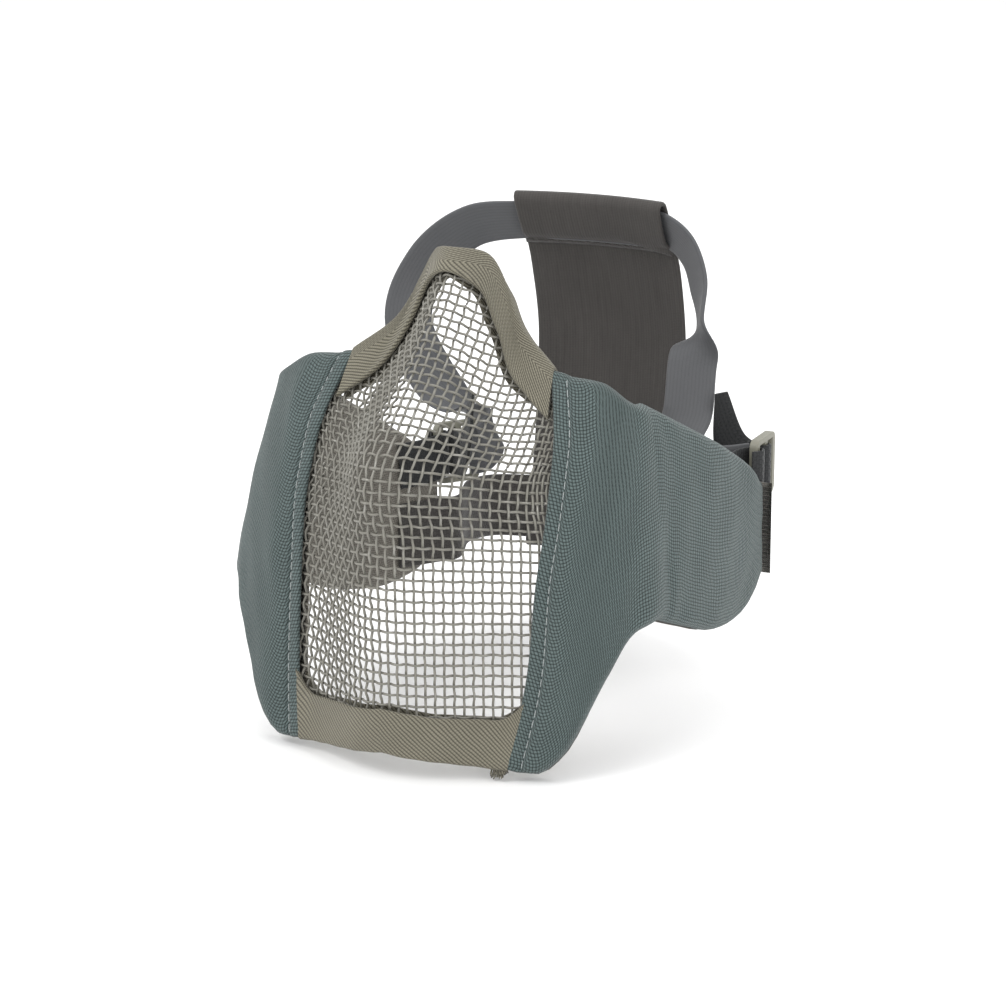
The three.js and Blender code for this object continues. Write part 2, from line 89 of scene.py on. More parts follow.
STRAP_WIDTH, STRAP_THICK, NECK_WIDTH = 15.0, 1.2, 20.0
PANEL_HALF, PANEL_TOP, PANEL_BOTTOM, PANEL_CUP = 25.0, 70.0, -46.0, 4.0
PANEL_LINE = ((-46, 116), (-2, 124), (20, 125.5), (45, 119.5), (60, 112), (70, 106))
CROWN_HEM, NECK_HEM, HEM_THICK, HEM_GAP = 17.0, 23.0, 1.2, 0.6
SLIDER_LENGTH, SLIDER_THICK, SLIDER_BAR, SLIDER_HEIGHT, SLIDER_REACH = 16.0, 2.6, 2.2, -2.0, 4.0
STRAND_GAP, ANCHOR_LENGTH, NECK_HEIGHT = 0.5, 14.0, -25.0


# ---- properties a user would change -----------------------------------------------------------
def length(name, about, default):
    """A size in metres, shown in the scene's units."""
    return bpy.props.FloatProperty(name=name, description=about, default=default, min=0,
                                   subtype="DISTANCE", unit="LENGTH")


def colour(name, about, default):
    """A linear colour."""
    return bpy.props.FloatVectorProperty(name=name, description=about, default=default,
                                         size=3, min=0, max=1, subtype="COLOR")


class MaskSizes(bpy.types.PropertyGroup):
    """Sizes of the wires, tapes, threads and pads."""
    wire_pitch: length("Wire pitch", "Distance between neighbouring wires that run across", 0.003)
    column_pitch: length("Column pitch", "Distance between neighbouring upright wires", 0.0025)
    wire_width: length("Wire diameter", "Diameter of one wire", 0.00075)
    cover_thread: length("Cover thread", "Pitch of the cover's coarse threads", 0.00098)
    lining_thread: length("Lining thread", "Pitch of the lining's knitted loops", 0.0007)
    tape_rib: length("Tape rib", "Pitch of the ribs in the edge tape", 0.0008)
    tape_thick: length("Tape thickness", "Thickness of the edge tape", 0.0012)
    stitch_long: length("Stitch length", "Length of one stitch", 0.0026)
    stitch_gap: length("Stitch gap", "Space between stitches", 0.0003)
    thread_width: length("Thread diameter", "Diameter of the sewing thread", 0.00032)
    panel_rib: length("Panel rib", "Pitch of the ribs in the back panel", 0.0009)
    edge_round: length("Pad edge", "Rounding of the pads' edges", 0.0032)


class MaskColours(bpy.types.PropertyGroup):
    """Linear colours of the finishes."""
    cover: colour("Cover", "Woven cover of the pads", (0.079, 0.104, 0.102))
    lining: colour("Lining", "Knitted lining on the wearer's side", (0.20, 0.185, 0.16))
    tape: colour("Tape", "Edge tape", (0.188, 0.175, 0.134))
    steel: colour("Wire", "Paint on the wires", (0.20, 0.192, 0.165))
    panel: colour("Panel", "Wide elastic of the back panel", (0.058, 0.054, 0.051))
    strap: colour("Strap", "Grey strap elastic", (0.083, 0.085, 0.090))
    webbing: colour("Webbing", "Dark webbing", (0.026, 0.027, 0.028))
    plastic: colour("Plastic", "Moulded sliders", (0.20, 0.195, 0.155))
    thread: colour("Thread", "Sewing thread", (0.36, 0.39, 0.39))
    floor: colour("Floor", "Pale studio floor", (0.94, 0.94, 0.94))


def sizes():
    """The scene's mask sizes."""
    return bpy.context.scene.mask_sizes


def colours():
    """The scene's mask colours."""
    return bpy.context.scene.mask_colours


# ---- small maths -----------------------------------------------------------------------------
def mix(a, b, t):
    return a + (b - a) * t


def ease(t):
    t = min(max(t, 0.0), 1.0)
    return t * t * (3 - 2 * t)


def through(keys, at):
    """A smooth curve through a few keys that never overshoots them."""
    last = len(keys) - 1
    if at <= keys[0][0]:
        return keys[0][1]
    if at >= keys[last][0]:
        return keys[last][1]

    def rise(i):
        return (keys[i + 1][1] - keys[i][1]) / (keys[i + 1][0] - keys[i][0])

    def slope(i):
        if i == 0:
            return rise(0)
        if i == last:
            return rise(last - 1)
        a, b = rise(i - 1), rise(i)
        return 2 * a * b / (a + b) if a * b > 0 else 0.0

    i = next(n for n, key in enumerate(keys) if key[0] > at) - 1
    span = keys[i + 1][0] - keys[i][0]
    t = (at - keys[i][0]) / span
    t2, t3 = t * t, t * t * t
    return ((2 * t3 - 3 * t2 + 1) * keys[i][1] + (t3 - 2 * t2 + t) * span * slope(i)
            + (3 * t2 - 2 * t3) * keys[i + 1][1] + (t3 - t2) * span * slope(i + 1))


def run_lengths(points):
    """The distance along the points from the first to each."""
    total = [0.0]
    for a, b in zip(points, points[1:]):
        total.append(total[-1] + (b - a).length)
    return total


def lifted(surface, u, v, lift):
    """A point off a surface along its normal."""
    step = 1e-3
    u0, v0 = min(max(u, step), 1 - step), min(max(v, step), 1 - step)
    du = surface(u0 + step, v0) - surface(u0 - step, v0)
    dv = surface(u0, v0 + step) - surface(u0, v0 - step)
    return surface(u, v) + du.cross(dv).normalized() * lift


def smooth_curve(points):
    """A centripetal Catmull-Rom curve through points, for 0 to 1."""
    def at(t):
        last = len(points) - 1
        place = min(max(t, 0.0), 1.0) * last
        i = min(int(place), last - 1)
        w = place - i
        p1, p2 = points[i], points[i + 1]
        p0 = points[i - 1] if i else p1 * 2 - p2
        p3 = points[i + 2] if i + 2 <= last else p2 * 2 - p1
        d1 = (p2 - p1).length ** 0.5 or 1.0
        d0 = (p1 - p0).length ** 0.5 or d1
        d2 = (p3 - p2).length ** 0.5 or d1
        t1 = ((p1 - p0) / d0 - (p2 - p0) / (d0 + d1) + (p2 - p1) / d1) * d1
        t2 = ((p2 - p1) / d1 - (p3 - p1) / (d1 + d2) + (p3 - p2) / d2) * d1
        return (p1 + t1 * w + (p2 * 3 - p1 * 3 - t1 * 2 - t2) * w ** 2
                + (p1 * 2 - p2 * 2 + t1 + t2) * w ** 3)
    return at


# ---- shapes ------------------------------------------------------------------------------------
def half_at(z):
    return CREASE_HALF + CREASE_LEAN * z


def crease_y(z):
    return CREASE_DEPTH + CREASE_RAKE * z


def muzzle_rise(x, z):
    """How far the muzzle stands forward at a distance from the middle."""
    q = min(x / through(MUZZLE_HALF, z), 1.0)
    return through(MUZZLE_RISE, z) * math.cos(q * math.pi / 2) ** 2


def front_point(share, z):
    """The formed steel at a share of the half width, from one crease (-1) to the other (1)."""
    r = min(abs(share), 1.0)
    x = half_at(z) * r
    plane = through(FACE_LINE, z)
    turn = 1 - (1 - r ** CHEEK_SQUARE) ** (1 / CHEEK_SQUARE)
    y = plane + (crease_y(z) - plane) * turn - muzzle_rise(x, z)
    return Vector((math.copysign(x, share), y, z))


def edges_at(share):
    """Heights of the steel's lower and upper edge."""
    return through(BOTTOM_EDGE, abs(share)), through(TOP_EDGE, abs(share))


def formed(share, v):
    return front_point(share, mix(*edges_at(share), v))


def by_x(x, z):
    return front_point(x / half_at(z), z)


def flap_point(d, v):
    """The wearer's left flap; d is the distance behind the crease."""
    s = min(max(d / (EAR_DEPTH - CREASE_DEPTH), 0.0), 1.1)
    z = mix(through(EAR_BOTTOM, s), through(EAR_TOP, s), v)
    x = mix(half_at(z), EAR_HALF, s) + EAR_BOW * math.sin(math.pi * min(s, 1.0))
    return Vector((x, mix(crease_y(z), EAR_DEPTH, s), z))


FLAP_LENGTH = EAR_DEPTH - CREASE_DEPTH
HINGE = Vector((CREASE_HALF + HINGE_LIFT, CREASE_DEPTH + HINGE_BACK, 0))
HINGE_AXIS = Vector((CREASE_LEAN, CREASE_RAKE, 1)).normalized()


def folded(side, point, share=1.0):
    """A point of the left flap carried to where that side's flap lies."""
    if side > 0:
        return point.copy()
    turned = Matrix.Rotation(RIGHT_FOLD * share, 3, HINGE_AXIS) @ (point - HINGE) + HINGE
    return Vector((-turned.x, turned.y, turned.z))


def fold_way(side, way):
    return folded(side, HINGE + way) - folded(side, HINGE)


# ---- meshes ------------------------------------------------------------------------------------
def measured(points):
    """Distances in metres along and across a grid of points, for thread patterns."""
    grid = np.array([[tuple(p) for p in row] for row in points]) * MM
    along = np.zeros(grid.shape[:2])
    across = np.zeros(grid.shape[:2])
    along[:, 1:] = np.cumsum(np.linalg.norm(np.diff(grid, axis=1), axis=2), axis=1)
    across[1:] = np.cumsum(np.linalg.norm(np.diff(grid, axis=0), axis=2), axis=0)
    middle = grid.shape[0] // 2
    across -= across[middle]
    return along, across


def linked(name, data):
    """A new object in the scene."""
    made = bpy.data.objects.new(name, data)
    bpy.context.scene.collection.objects.link(made)
    return made


def new_object(name, verts, faces, uvs, finishes, slots=None, smooth=True):
    """A mesh object with a map of its threads, in metres."""
    mesh = bpy.data.meshes.new(name)
    mesh.from_pydata([tuple(c * MM for c in v) for v in verts], [], faces)
    layer = mesh.uv_layers.new(name="Threads")
    corner = np.array([uv for face in uvs for uv in face], np.float32).ravel()
    layer.data.foreach_set("uv", corner)
    for material in finishes:
        mesh.materials.append(material)
    if slots is not None:
        mesh.polygons.foreach_set("material_index", slots)
    mesh.polygons.foreach_set("use_smooth", [smooth] * len(mesh.polygons))
    mesh.update()
    return linked(name, mesh)


def turned_out(obj):
    """Turns every face round if the closed mesh is inside out."""
    mesh = obj.data
    mesh.calc_loop_triangles()
    co = [v.co for v in mesh.vertices]
    volume = sum(co[t.vertices[0]].dot(co[t.vertices[1]].cross(co[t.vertices[2]]))
                 for t in mesh.loop_triangles)
    if volume < 0:
        mesh.flip_normals()
    return obj


def pillow(name, outer, inner, finishes, inner_slot=0):
    """A closed piece between two grids of points that share their border."""
    rows, cols = len(outer), len(outer[0])
    verts, index = [], {}
    for face, grid in enumerate((outer, inner)):
        for i in range(rows):
            for j in range(cols):
                rim = i in (0, rows - 1) or j in (0, cols - 1)
                key = (0 if rim else face, i, j)
                if key not in index:
                    index[key] = len(verts)
                    verts.append(grid[i][j])
                index[(face, i, j)] = index[key]
    faces, uvs, slots = [], [], []
    for face, grid in enumerate((outer, inner)):
        along, across = measured(grid)
        for i in range(rows - 1):
            for j in range(cols - 1):
                ring = [(i, j), (i + 1, j), (i + 1, j + 1), (i, j + 1)]
                if face:
                    ring.reverse()
                faces.append([index[(face, a, b)] for a, b in ring])
                uvs.append([(along[a, b], across[a, b]) for a, b in ring])
                slots.append(inner_slot if face else 0)
    return turned_out(new_object(name, verts, faces, uvs, finishes, slots))


def loop_strip(name, stations, finishes):
    """A strip with a closed section; stations are loops of points along it."""
    count, around = len(stations), len(stations[0])
    verts = [p for loop in stations for p in loop]
    grid = [loop + [loop[0]] for loop in stations]
    columns = list(map(list, zip(*grid)))
    along, across = measured(columns)
    faces, uvs = [], []
    for i in range(count - 1):
        for j in range(around):
            k = (j + 1) % around
            faces.append([i * around + j, i * around + k, (i + 1) * around + k,
                          (i + 1) * around + j])
            uvs.append([(along[j, i], across[j, i]), (along[j + 1, i], across[j + 1, i]),
                        (along[j + 1, i + 1], across[j + 1, i + 1]),
                        (along[j, i + 1], across[j, i + 1])])
    for i, ring in ((0, range(around - 1, -1, -1)), (count - 1, range(around))):
        faces.append([i * around + j for j in ring])
        uvs.append([(along[j, i], across[j, i]) for j in ring])
    made = turned_out(new_object(name, verts, faces, uvs, finishes))
    rims = [set(range(around)), set(range((count - 1) * around, count * around))]
    for edge in made.data.edges:
        edge.use_edge_sharp = any(set(edge.vertices) <= rim for rim in rims)
    return made


# ---- wires -------------------------------------------------------------------------------------
ROW_DRAW = ((-66, 0.10), (-15, 0.18), (14, 0.24), (40, 0.36), (70, 0.42))
COLUMN_PLUMB = 0.4          # how far the columns keep to upright planes
ROW_LEVEL = 0.55            # share of the muzzle's rise at which a row keeps its height
MESH_SHARE = 0.70           # share of the half width that the wires cover
WIRE_WANDER, CRIMP, WIRE_SIDES = 0.05, 0.98, 6
LOW_MARGIN, HIGH_MARGIN, SEAM_MARGIN = 0.9, 2.0, 2.6    # where wires end under tape or cover


def ridge_heights(pitch, parts):
    """Heights of the rows, which keep their distance along the middle of the formed steel."""
    zs = np.linspace(FACE_LINE[0][0], FACE_LINE[-1][0], 142)
    ys = np.array([through(FACE_LINE, z) - through(MUZZLE_RISE, z) for z in zs])
    arc = np.concatenate([[0], np.cumsum(np.hypot(np.diff(zs), np.diff(ys)))])
    arc -= np.interp(0, zs, arc)
    first, last = int(arc[0] / pitch) * parts, int(arc[-1] / pitch) * parts
    return {row: float(np.interp(row / parts * pitch, arc, zs)) for row in range(first, last + 1)}


def material_grid(pitch, column_pitch, parts):
    """Where rows and columns lie, as {(row, column): point} in steps of 1/parts: rows drawn
    forward rise a little, and columns keep most of their distance along the surface."""
    reach = 24 * parts
    grid = {}
    steps = 110
    for row, base in ridge_heights(pitch, parts).items():
        draw = through(ROW_DRAW, base)
        half = MESH_SHARE * half_at(base)

        def on_row(x):
            drawn = muzzle_rise(x, base) - ROW_LEVEL * through(MUZZLE_RISE, base)
            return by_x(x, base + draw * drawn)

        xs = [half * n / steps for n in range(steps + 1)]
        total = run_lengths([on_row(x) for x in xs])
        for column in range(0, reach + 1):
            at = column / parts * column_pitch
            if at > total[-1]:
                break
            p = on_row(mix(float(np.interp(at, total, xs)), min(at, half), COLUMN_PLUMB))
            grid[(row, column)] = p
            grid[(row, -column)] = Vector((-p.x, p.y, p.z))
    return grid


def in_steel(p):
    """True where the wires are seen or lie just under a cover or tape."""
    share = abs(p.x) / half_at(p.z)
    low, high = edges_at(share)
    if not low + LOW_MARGIN < p.z < high - HIGH_MARGIN:
        return False
    v = (p.z - low) / (high - low)
    return abs(p.x) < through(SEAM_LINE, v) * half_at(p.z) + SEAM_MARGIN


def tube(points, radius, sides, verts, faces, uvs, start=0.0):
    """Adds a round wire along points."""
    base = len(verts)
    axis = Vector((0.3, 0.5, 0.81))
    run = start
    for n, p in enumerate(points):
        ahead = points[min(n + 1, len(points) - 1)] - points[max(n - 1, 0)]
        ahead.normalize()
        u = ahead.cross(axis).normalized()
        w = ahead.cross(u)
        for k in range(sides):
            angle = 2 * math.pi * k / sides
            verts.append(p + (u * math.cos(angle) + w * math.sin(angle)) * radius)
    for n in range(len(points) - 1):
        step = (points[n + 1] - points[n]).length * MM
        for k in range(sides):
            m = (k + 1) % sides
            a, b = base + n * sides, base + (n + 1) * sides
            faces.append([a + k, a + m, b + m, b + k])
            c, d = k / sides * radius * 6 * MM, (k + 1) / sides * radius * 6 * MM
            uvs.append([(run, c), (run, d), (run + step, d), (run + step, c)])
        run += step
    for n, flip in ((0, True), (len(points) - 1, False)):
        ring = [base + n * sides + k for k in range(sides)]
        faces.append(ring[::-1] if flip else ring)
        uvs.append([(run, 0)] * sides)


class MASK_OT_wires(bpy.types.Operator):
    """Weave the crimped wires of the formed front"""
    bl_idname = "mask.wires"
    bl_label = "Woven wires"

    def execute(self, context):
        pitch, radius = sizes().wire_pitch / MM, sizes().wire_width / MM / 2
        parts = 4
        grid = material_grid(pitch, sizes().column_pitch / MM, parts)

        def normal(key):
            row, column = key
            near = [grid.get((row, column + 1)), grid.get((row, column - 1)),
                    grid.get((row + 1, column)), grid.get((row - 1, column))]
            here = grid[key]
            across = (near[0] or here) - (near[1] or here)
            up = (near[2] or here) - (near[3] or here)
            return across.cross(up).normalized()

        def wander(order, place):
            return math.sin(12.9 * order + 78.2 * place + 3.1) * WIRE_WANDER

        kinds = {"across": ([], [], []), "up": ([], [], [])}
        rows = sorted({k[0] for k in grid})
        columns = sorted({k[1] for k in grid})
        runs = [("across", [(r, c) for c in columns], r // parts) for r in rows if r % parts == 0]
        runs += [("up", [(r, c) for r in rows], c // parts) for c in columns if c % parts == 0]
        for kind, keys, order in runs:
            verts, faces, uvs = kinds[kind]
            chain = []
            for key in keys + [None]:
                p = grid.get(key) if key else None
                if p is not None and in_steel(p):
                    place = key[1 if kind == "across" else 0] / parts
                    wave = math.cos(math.pi * (place + order)) * (1 if kind == "across" else -1)
                    lift = STEEL_MID + radius * CRIMP * wave
                    sway = wander(order, round(place))
                    shift = Vector((0, 0, sway)) if kind == "across" else Vector((sway, 0, 0))
                    chain.append(p + normal(key) * lift + shift)
                    continue
                if len(chain) > 3:
                    tube(chain, radius, WIRE_SIDES, verts, faces, uvs, start=0.13 * order)
                chain = []
        finish = painted_wire("mask wire paint", colours().steel)
        across = new_object("wire_rows", *kinds["across"], [finish])
        up = new_object("wire_columns", *kinds["up"], [finish])
        for piece in (across, up):
            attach(piece, "mask_front")
        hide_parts("wire_mesh_shell")
        return {"FINISHED"}


# ---- tapes -------------------------------------------------------------------------------------
def strip_point(strip, u, s, wide, lift):
    """A point of a tape: s is measured from its free edge; past its width it leaves the steel."""
    v = s / wide
    if v < 0:
        return lifted(strip, u, 0, lift) + (strip(u, 0) - strip(u, 0.1)).normalized() * -s
    if v <= 1:
        return lifted(strip, u, v, lift)
    out = (strip(u, 1) - strip(u, 0.9)).normalized()
    return lifted(strip, u, 1, lift) + out * (s - wide)


def tape_section(wide, thick):
    """The section of a tape folded over an edge, as (distance from its free edge, lift)."""
    roll = thick * 0.66
    front, back = TAPE_SEAT + thick, TAPE_BACK - thick
    edge = 0.75             # distance of the free edges' middle

    def arc(x, y, across, up, degrees):
        turns = [math.radians(degree) for degree in degrees]
        return [(x + across * math.cos(a), y + up * math.sin(a)) for a in turns]

    points = arc(edge, TAPE_SEAT + roll, roll, roll, range(260, 80, -30))
    points += [(wide * share, front + 0.12 * math.sin(share * math.pi))
               for share in (0.12, 0.24, 0.38, 0.52, 0.66, 0.8, 0.92, 0.99)]
    points += arc(wide, (front + back) / 2, 1.05, (front - back) / 2, (66, 36, 0, -36, -66))
    points += [(wide * share, back) for share in (0.98, 0.8, 0.6, 0.4, 0.2)]
    points += arc(edge, TAPE_BACK - roll, roll, roll, range(280, 100, -30))
    return points + [(wide * 0.4, TAPE_BACK), (wide - 0.3, -1.55), (wide + 0.1, -0.6),
                     (wide - 0.3, 0.3), (wide * 0.6, TAPE_SEAT), (wide * 0.25, TAPE_SEAT)]


def arch_strip(u, v):
    """The nose tape's line on the steel, from its free edge (v = 0) to the arch's rim."""
    q = (2 * u - 1) * 4
    x = mix(ARCH_INNER(q)[0], ARCH_OUTER(q)[0], v)
    return by_x(x, mix(ARCH_INNER(q)[1], ARCH_OUTER(q)[1], v))


def seam_x(z):
    """Half the width between the two covers' front edges at a height."""
    share = SEAM_LINE[0][1]
    for _ in range(6):
        low, high = edges_at(share)
        share = through(SEAM_LINE, min(max((z - low) / (high - low), 0.0), 1.0))
    return share * half_at(z)


def chin_strip(u, v):
    """The chin tape, with its free edge (v = 0) uppermost and its ends under the covers."""
    x = mix(CHIN_HALF, -CHIN_HALF, u)
    low = through(BOTTOM_EDGE, abs(x) / half_at(CHIN_LEVEL)) + 0.3 + 0.06 * math.sin(0.9 * x)
    corner = max(0.0, (abs(x) - CHIN_HALF + 1.2 * CHIN_FILLET) / (1.2 * CHIN_FILLET))
    high = low + CHIN_TAPE + CHIN_FILLET * corner ** 2.4 + 0.2 * math.sin(0.35 * x)
    z = mix(high, low, v)
    return by_x(x / CHIN_HALF * (seam_x(z) + TUCK), z)


def arch_line(keys):
    """A smooth line through the keys of one side and their mirror, for -3 to 3."""
    both = [Vector((-x, z, 0)) for x, z in reversed(keys[1:])]
    both += [Vector((x, z, 0)) for x, z in keys]
    curve = smooth_curve(both)
    last = len(keys) - 1
    return lambda q: curve((q / last + 1) / 2)


def strip_normal_out(strip):
    """The strip, turned so that its lift points away from the wearer."""
    middle = lifted(strip, 0.5, 0.5, 1) - strip(0.5, 0.5)
    return strip if middle.y < 0 else (lambda u, v: strip(1 - u, v))


ARCH_INNER = arch_line(((0, 66.3), (6.9, 61.6), (12.4, 50.5), (19.4, 38.0), (32.6, 27.8)))
ARCH_OUTER = arch_line(((0, 72.0), (6.8, 70.2), (13.2, 60.8), (19.8, 49.6), (31.2, 40.3)))


class MASK_OT_tapes(bpy.types.Operator):
    """Fold the ribbed tapes over the nose arch and the chin edge"""
    bl_idname = "mask.tapes"
    bl_label = "Edge tapes"

    def execute(self, context):
        thick = sizes().tape_thick / MM
        for name, strip, steps, chevron in (("nose_tape", arch_strip, 130, -0.0085),
                                            ("chin_tape", chin_strip, 90, None)):
            strip = strip_normal_out(strip)
            stations = []
            for n in range(steps + 1):
                u = n / steps
                wide = (strip(u, 1) - strip(u, 0)).length
                section = tape_section(wide, thick)
                stations.append([strip_point(strip, u, s, wide, lift) for s, lift in section])
            finish = ribbed_tape(name.replace("_", " "), colours().tape, chevron)
            piece = loop_strip(name, stations, [finish])
            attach(piece, "mask_front")
            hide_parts(name.split("_")[0] + "_binding")
        self.frayed_end(ribbed_tape("frayed tape end", colours().tape, None))
        return {"FINISHED"}

    def frayed_end(self, finish):
        """Loose yarns where the chin tape's cut end shows beside the left cover."""
        verts, faces, uvs = [], [], []
        bottom = through(BOTTOM_EDGE, CHIN_HALF / half_at(CHIN_LEVEL))
        root = by_x(seam_x(bottom) - 0.3, bottom + 1.6)
        for n in range(90):
            spread = math.sin(n * 2.4)
            depth = math.cos(n * 1.7)
            start = root + Vector((-1.3 + 1.6 * spread, -0.2 + 1.3 * depth, 0.6 * math.sin(n)))
            fall = 3.0 + 0.9 * math.sin(n * 5.1)
            bend = Vector((0.7 * math.sin(n * 3.3) - 0.4, 0.6 * math.cos(n * 2.9), 0))
            yarn = [start, start + Vector((0, 0, -fall / 2)) + bend * 0.4,
                    start + Vector((0, 0, -fall)) + bend]
            tube(yarn, 0.2, 5, verts, faces, uvs)
        piece = new_object("chin_tape_fray", verts, faces, uvs, [finish])
        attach(piece, "mask_front")


# ---- pads --------------------------------------------------------------------------------------
FRONT_STEPS = (0, 0.3, 0.8, 1.5, 2.6, 3.7, 4.3, 4.7, 5.1, 5.8, 7.2, 9.2, 12)
EDGE_STEPS = (0, 0.25, 0.7, 1.4, 2.3, 3.3, 4.6)
CHEEK_SHARES = (0.06, 0.12, 0.18, 0.25, 0.32, 0.38, 0.44, 0.5, 0.56, 0.61, 0.67, 0.72, 0.77,
                0.82, 0.86, 0.9, 0.96)
FLAP_STEPS = (0, 1.5, 3, 4.5, 6, 8, 10.5, 13, 16, 19.5, 23, 27, 31, 35, 39, 43, 47, 51, 54.5,
              57.5)
CHEEK_CUTS = 48             # steps in which a cheek's width is measured
STITCH_LINE = 4.5
REAR_REACH = 1.5            # how far the sewn rear edge stands behind the foam
COVER_BACK = -4.6           # lift of the cover's inner face where the foam is full


class Pad:
    """One side's pad: a cheek part on the steel and a flap behind the crease."""

    def __init__(self, side):
        self.side = side
        self.tables = {}

    def cheek(self, u, v):
        turn = math.sin(u * math.pi / 2)
        return formed(self.side * mix(through(SEAM_LINE, v), 1, turn), v)

    def front_table(self, v):
        """Distances from the front edge for steps of u."""
        key = round(v, 4)
        if key not in self.tables:
            self.tables[key] = run_lengths([self.cheek(n / CHEEK_CUTS, v)
                                            for n in range(CHEEK_CUTS + 1)])
        return self.tables[key]

    def surface(self, row, v):
        """The pad's base surface: a row below 1 is on the cheek, above 1 on the flap."""
        if row <= 1:
            p = self.cheek(row, v)
            if self.side > 0:
                return p
            behind = -(1 - row) * 40
            p.x = -p.x
        else:
            behind = (row - 1) * FLAP_LENGTH
            p = flap_point(behind, v)
        return folded(self.side, p, ease((behind + 5) / 14))

    def rows(self, v):
        """Each row's place along the pad, and its distances from the front and the crease."""
        total = self.front_table(v)
        reach = total[-1]

        def at(distance):
            n = min(int(np.searchsorted(total, distance, side="right")) - 1, CHEEK_CUTS - 1)
            return (n + (distance - total[n]) / (total[n + 1] - total[n])) / CHEEK_CUTS

        rows = [(at(d), d, d - reach) for d in FRONT_STEPS]
        last = rows[-1][0]
        for share in CHEEK_SHARES:
            place = mix(last, 1, share)
            distance = float(np.interp(place * CHEEK_CUTS, range(CHEEK_CUTS + 1), total))
            rows.append((place, distance, distance - reach))
        for d in FLAP_STEPS:
            rows.append((1 + d / FLAP_LENGTH, reach + d, d))
        for e in reversed(EDGE_STEPS[:-1]):
            d = FLAP_LENGTH + REAR_REACH - e
            rows.append((1 + d / FLAP_LENGTH, reach + d, d))
        return rows

    def normal(self, place, v):
        step = 0.02
        a, b = max(place - step, 0.0), min(place + step, 2.0)
        c, d = max(v - step, 0.0), min(v + step, 1.0)
        along = self.surface(b, v) - self.surface(a, v)
        up = self.surface(place, d) - self.surface(place, c)
        return along.cross(up).normalized() * self.side

    def heights(self):
        """Shares of the height for each column of the grid, closer near the two edges."""
        edge = [e / PAD_TALL for e in EDGE_STEPS]
        inner = [mix(edge[-1], 1 - edge[-1], n / 19) for n in range(1, 19)]
        return edge + inner + [1 - e for e in reversed(edge)]

    def lifts(self, place, v, front, behind):
        """Lift of the cover's outer face, its back, and the lining's two faces."""
        low = self.surface(place, 0)
        tall = (self.surface(place, 1) - low).length
        edge = min(v, 1 - v) * tall
        rear = FLAP_LENGTH + REAR_REACH - behind
        near = min(edge, rear)
        round_off = sizes().edge_round / MM
        t = min(max(near, 0.0) / round_off, 1.0)
        swell = math.sqrt(max(0.0, 1 - (1 - t) ** 2))
        crown = 1 - math.exp(-max(near, 0) / 9)
        puff = ease((front - STITCH_LINE) / 9)
        wave = 0.30 * math.sin(0.21 * front + 1.3 * self.side) * math.sin(0.16 * v * tall + 0.5)
        wave += 0.16 * math.sin(0.55 * front + 0.31 * v * tall)
        groove = 0.75 * math.exp(-((front - STITCH_LINE) / 0.55) ** 2)
        fold = math.exp(-((behind - 3.0 - 2 * v) / 1.9) ** 2) * (1 - v) ** 2.2
        fold += 0.6 * math.exp(-((behind - 8.5) / 1.6) ** 2) * (1 - v) ** 4
        rearmost = ease((behind - 42) / 16)
        top = PAD_TOP + puff * (crown + wave * swell) - groove - fold * puff + 0.6 * rearmost
        depth = ease((front - 3.0) / 3.5)
        middle = mix(0.95, mix(-1.6, 0.1, rearmost), depth)
        cover_back = mix(TAPE_SEAT, COVER_BACK, depth)
        hem = min(front / 0.8, 1.0)
        hem = math.sqrt(max(0.0, 1 - (1 - hem) ** 2))
        outer = middle + (top - middle) * swell * hem
        inner = middle + (cover_back - middle) * swell * hem
        lining_top = mix(-1.55, PAD_LINING, ease(front / 7))
        lining_back = mix(-2.7, PAD_BACK, ease(front / 7)) - 0.9 * crown * puff - 0.4 * wave
        lining_rim = mix(-2.1, -4.3, ease(front / 6))
        lining_back += 0.5 * groove
        return (outer, inner, lining_rim + (lining_top - lining_rim) * swell * hem,
                lining_rim + (lining_back - lining_rim) * swell * hem)

    def point(self, place, v, front, behind, which):
        lift = self.lifts(place, v, front, behind)[which]
        return self.surface(place, v) + self.normal(place, v) * lift

    def grids(self):
        columns = self.heights()
        tables = [self.rows(v) for v in columns]
        made = [[] for _ in range(4)]
        for n in range(len(tables[0])):
            lines = [[] for _ in range(4)]
            for v, rows in zip(columns, tables):
                place, front, behind = rows[n]
                base, normal = self.surface(place, v), self.normal(place, v)
                for line, lift in zip(lines, self.lifts(place, v, front, behind)):
                    line.append(base + normal * lift)
            for grid, line in zip(made, lines):
                grid.append(line)
        return made

    def crossing(self):
        """Where the pad starts and stops turning about its crease, in metres."""
        along = (flap_point(20, 0.5) - flap_point(0, 0.5)).normalized()
        along -= HINGE_AXIS * along.dot(HINGE_AXIS)
        start, end = HINGE - along * 4.5, HINGE + along * 7.5
        return [tuple(c * MM for c in folded(self.side, p, s)) for p, s in ((start, 0), (end, 1))]


class MASK_OT_pads(bpy.types.Operator):
    """Make the padded cheeks and ear flaps with their linings"""
    bl_idname = "mask.pads"
    bl_label = "Padded sides"

    def execute(self, context):
        for side, word in SIDES:
            pad = Pad(side)
            outer, inner, lining_top, lining_back = pad.grids()
            cover_finish = woven_cover(f"{word} cover weave", colours().cover)
            lining_finish = knitted_lining(f"{word} lining knit", colours().lining)
            cover = pillow(f"{word}_pad_cover", outer, inner, [cover_finish])
            lining = pillow(f"{word}_pad_lining", lining_top, lining_back, [lining_finish])
            start, end = pad.crossing()
            for piece in (cover, lining):
                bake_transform(piece)
                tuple(start)
                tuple(end)
            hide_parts(f"{word}_cheek_cover", f"{word}_ear_cover", f"{word}_cheek_foam",
                        f"{word}_ear_foam")
            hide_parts(f"{word}_cheek_lining", f"{word}_ear_lining")
        return {"FINISHED"}


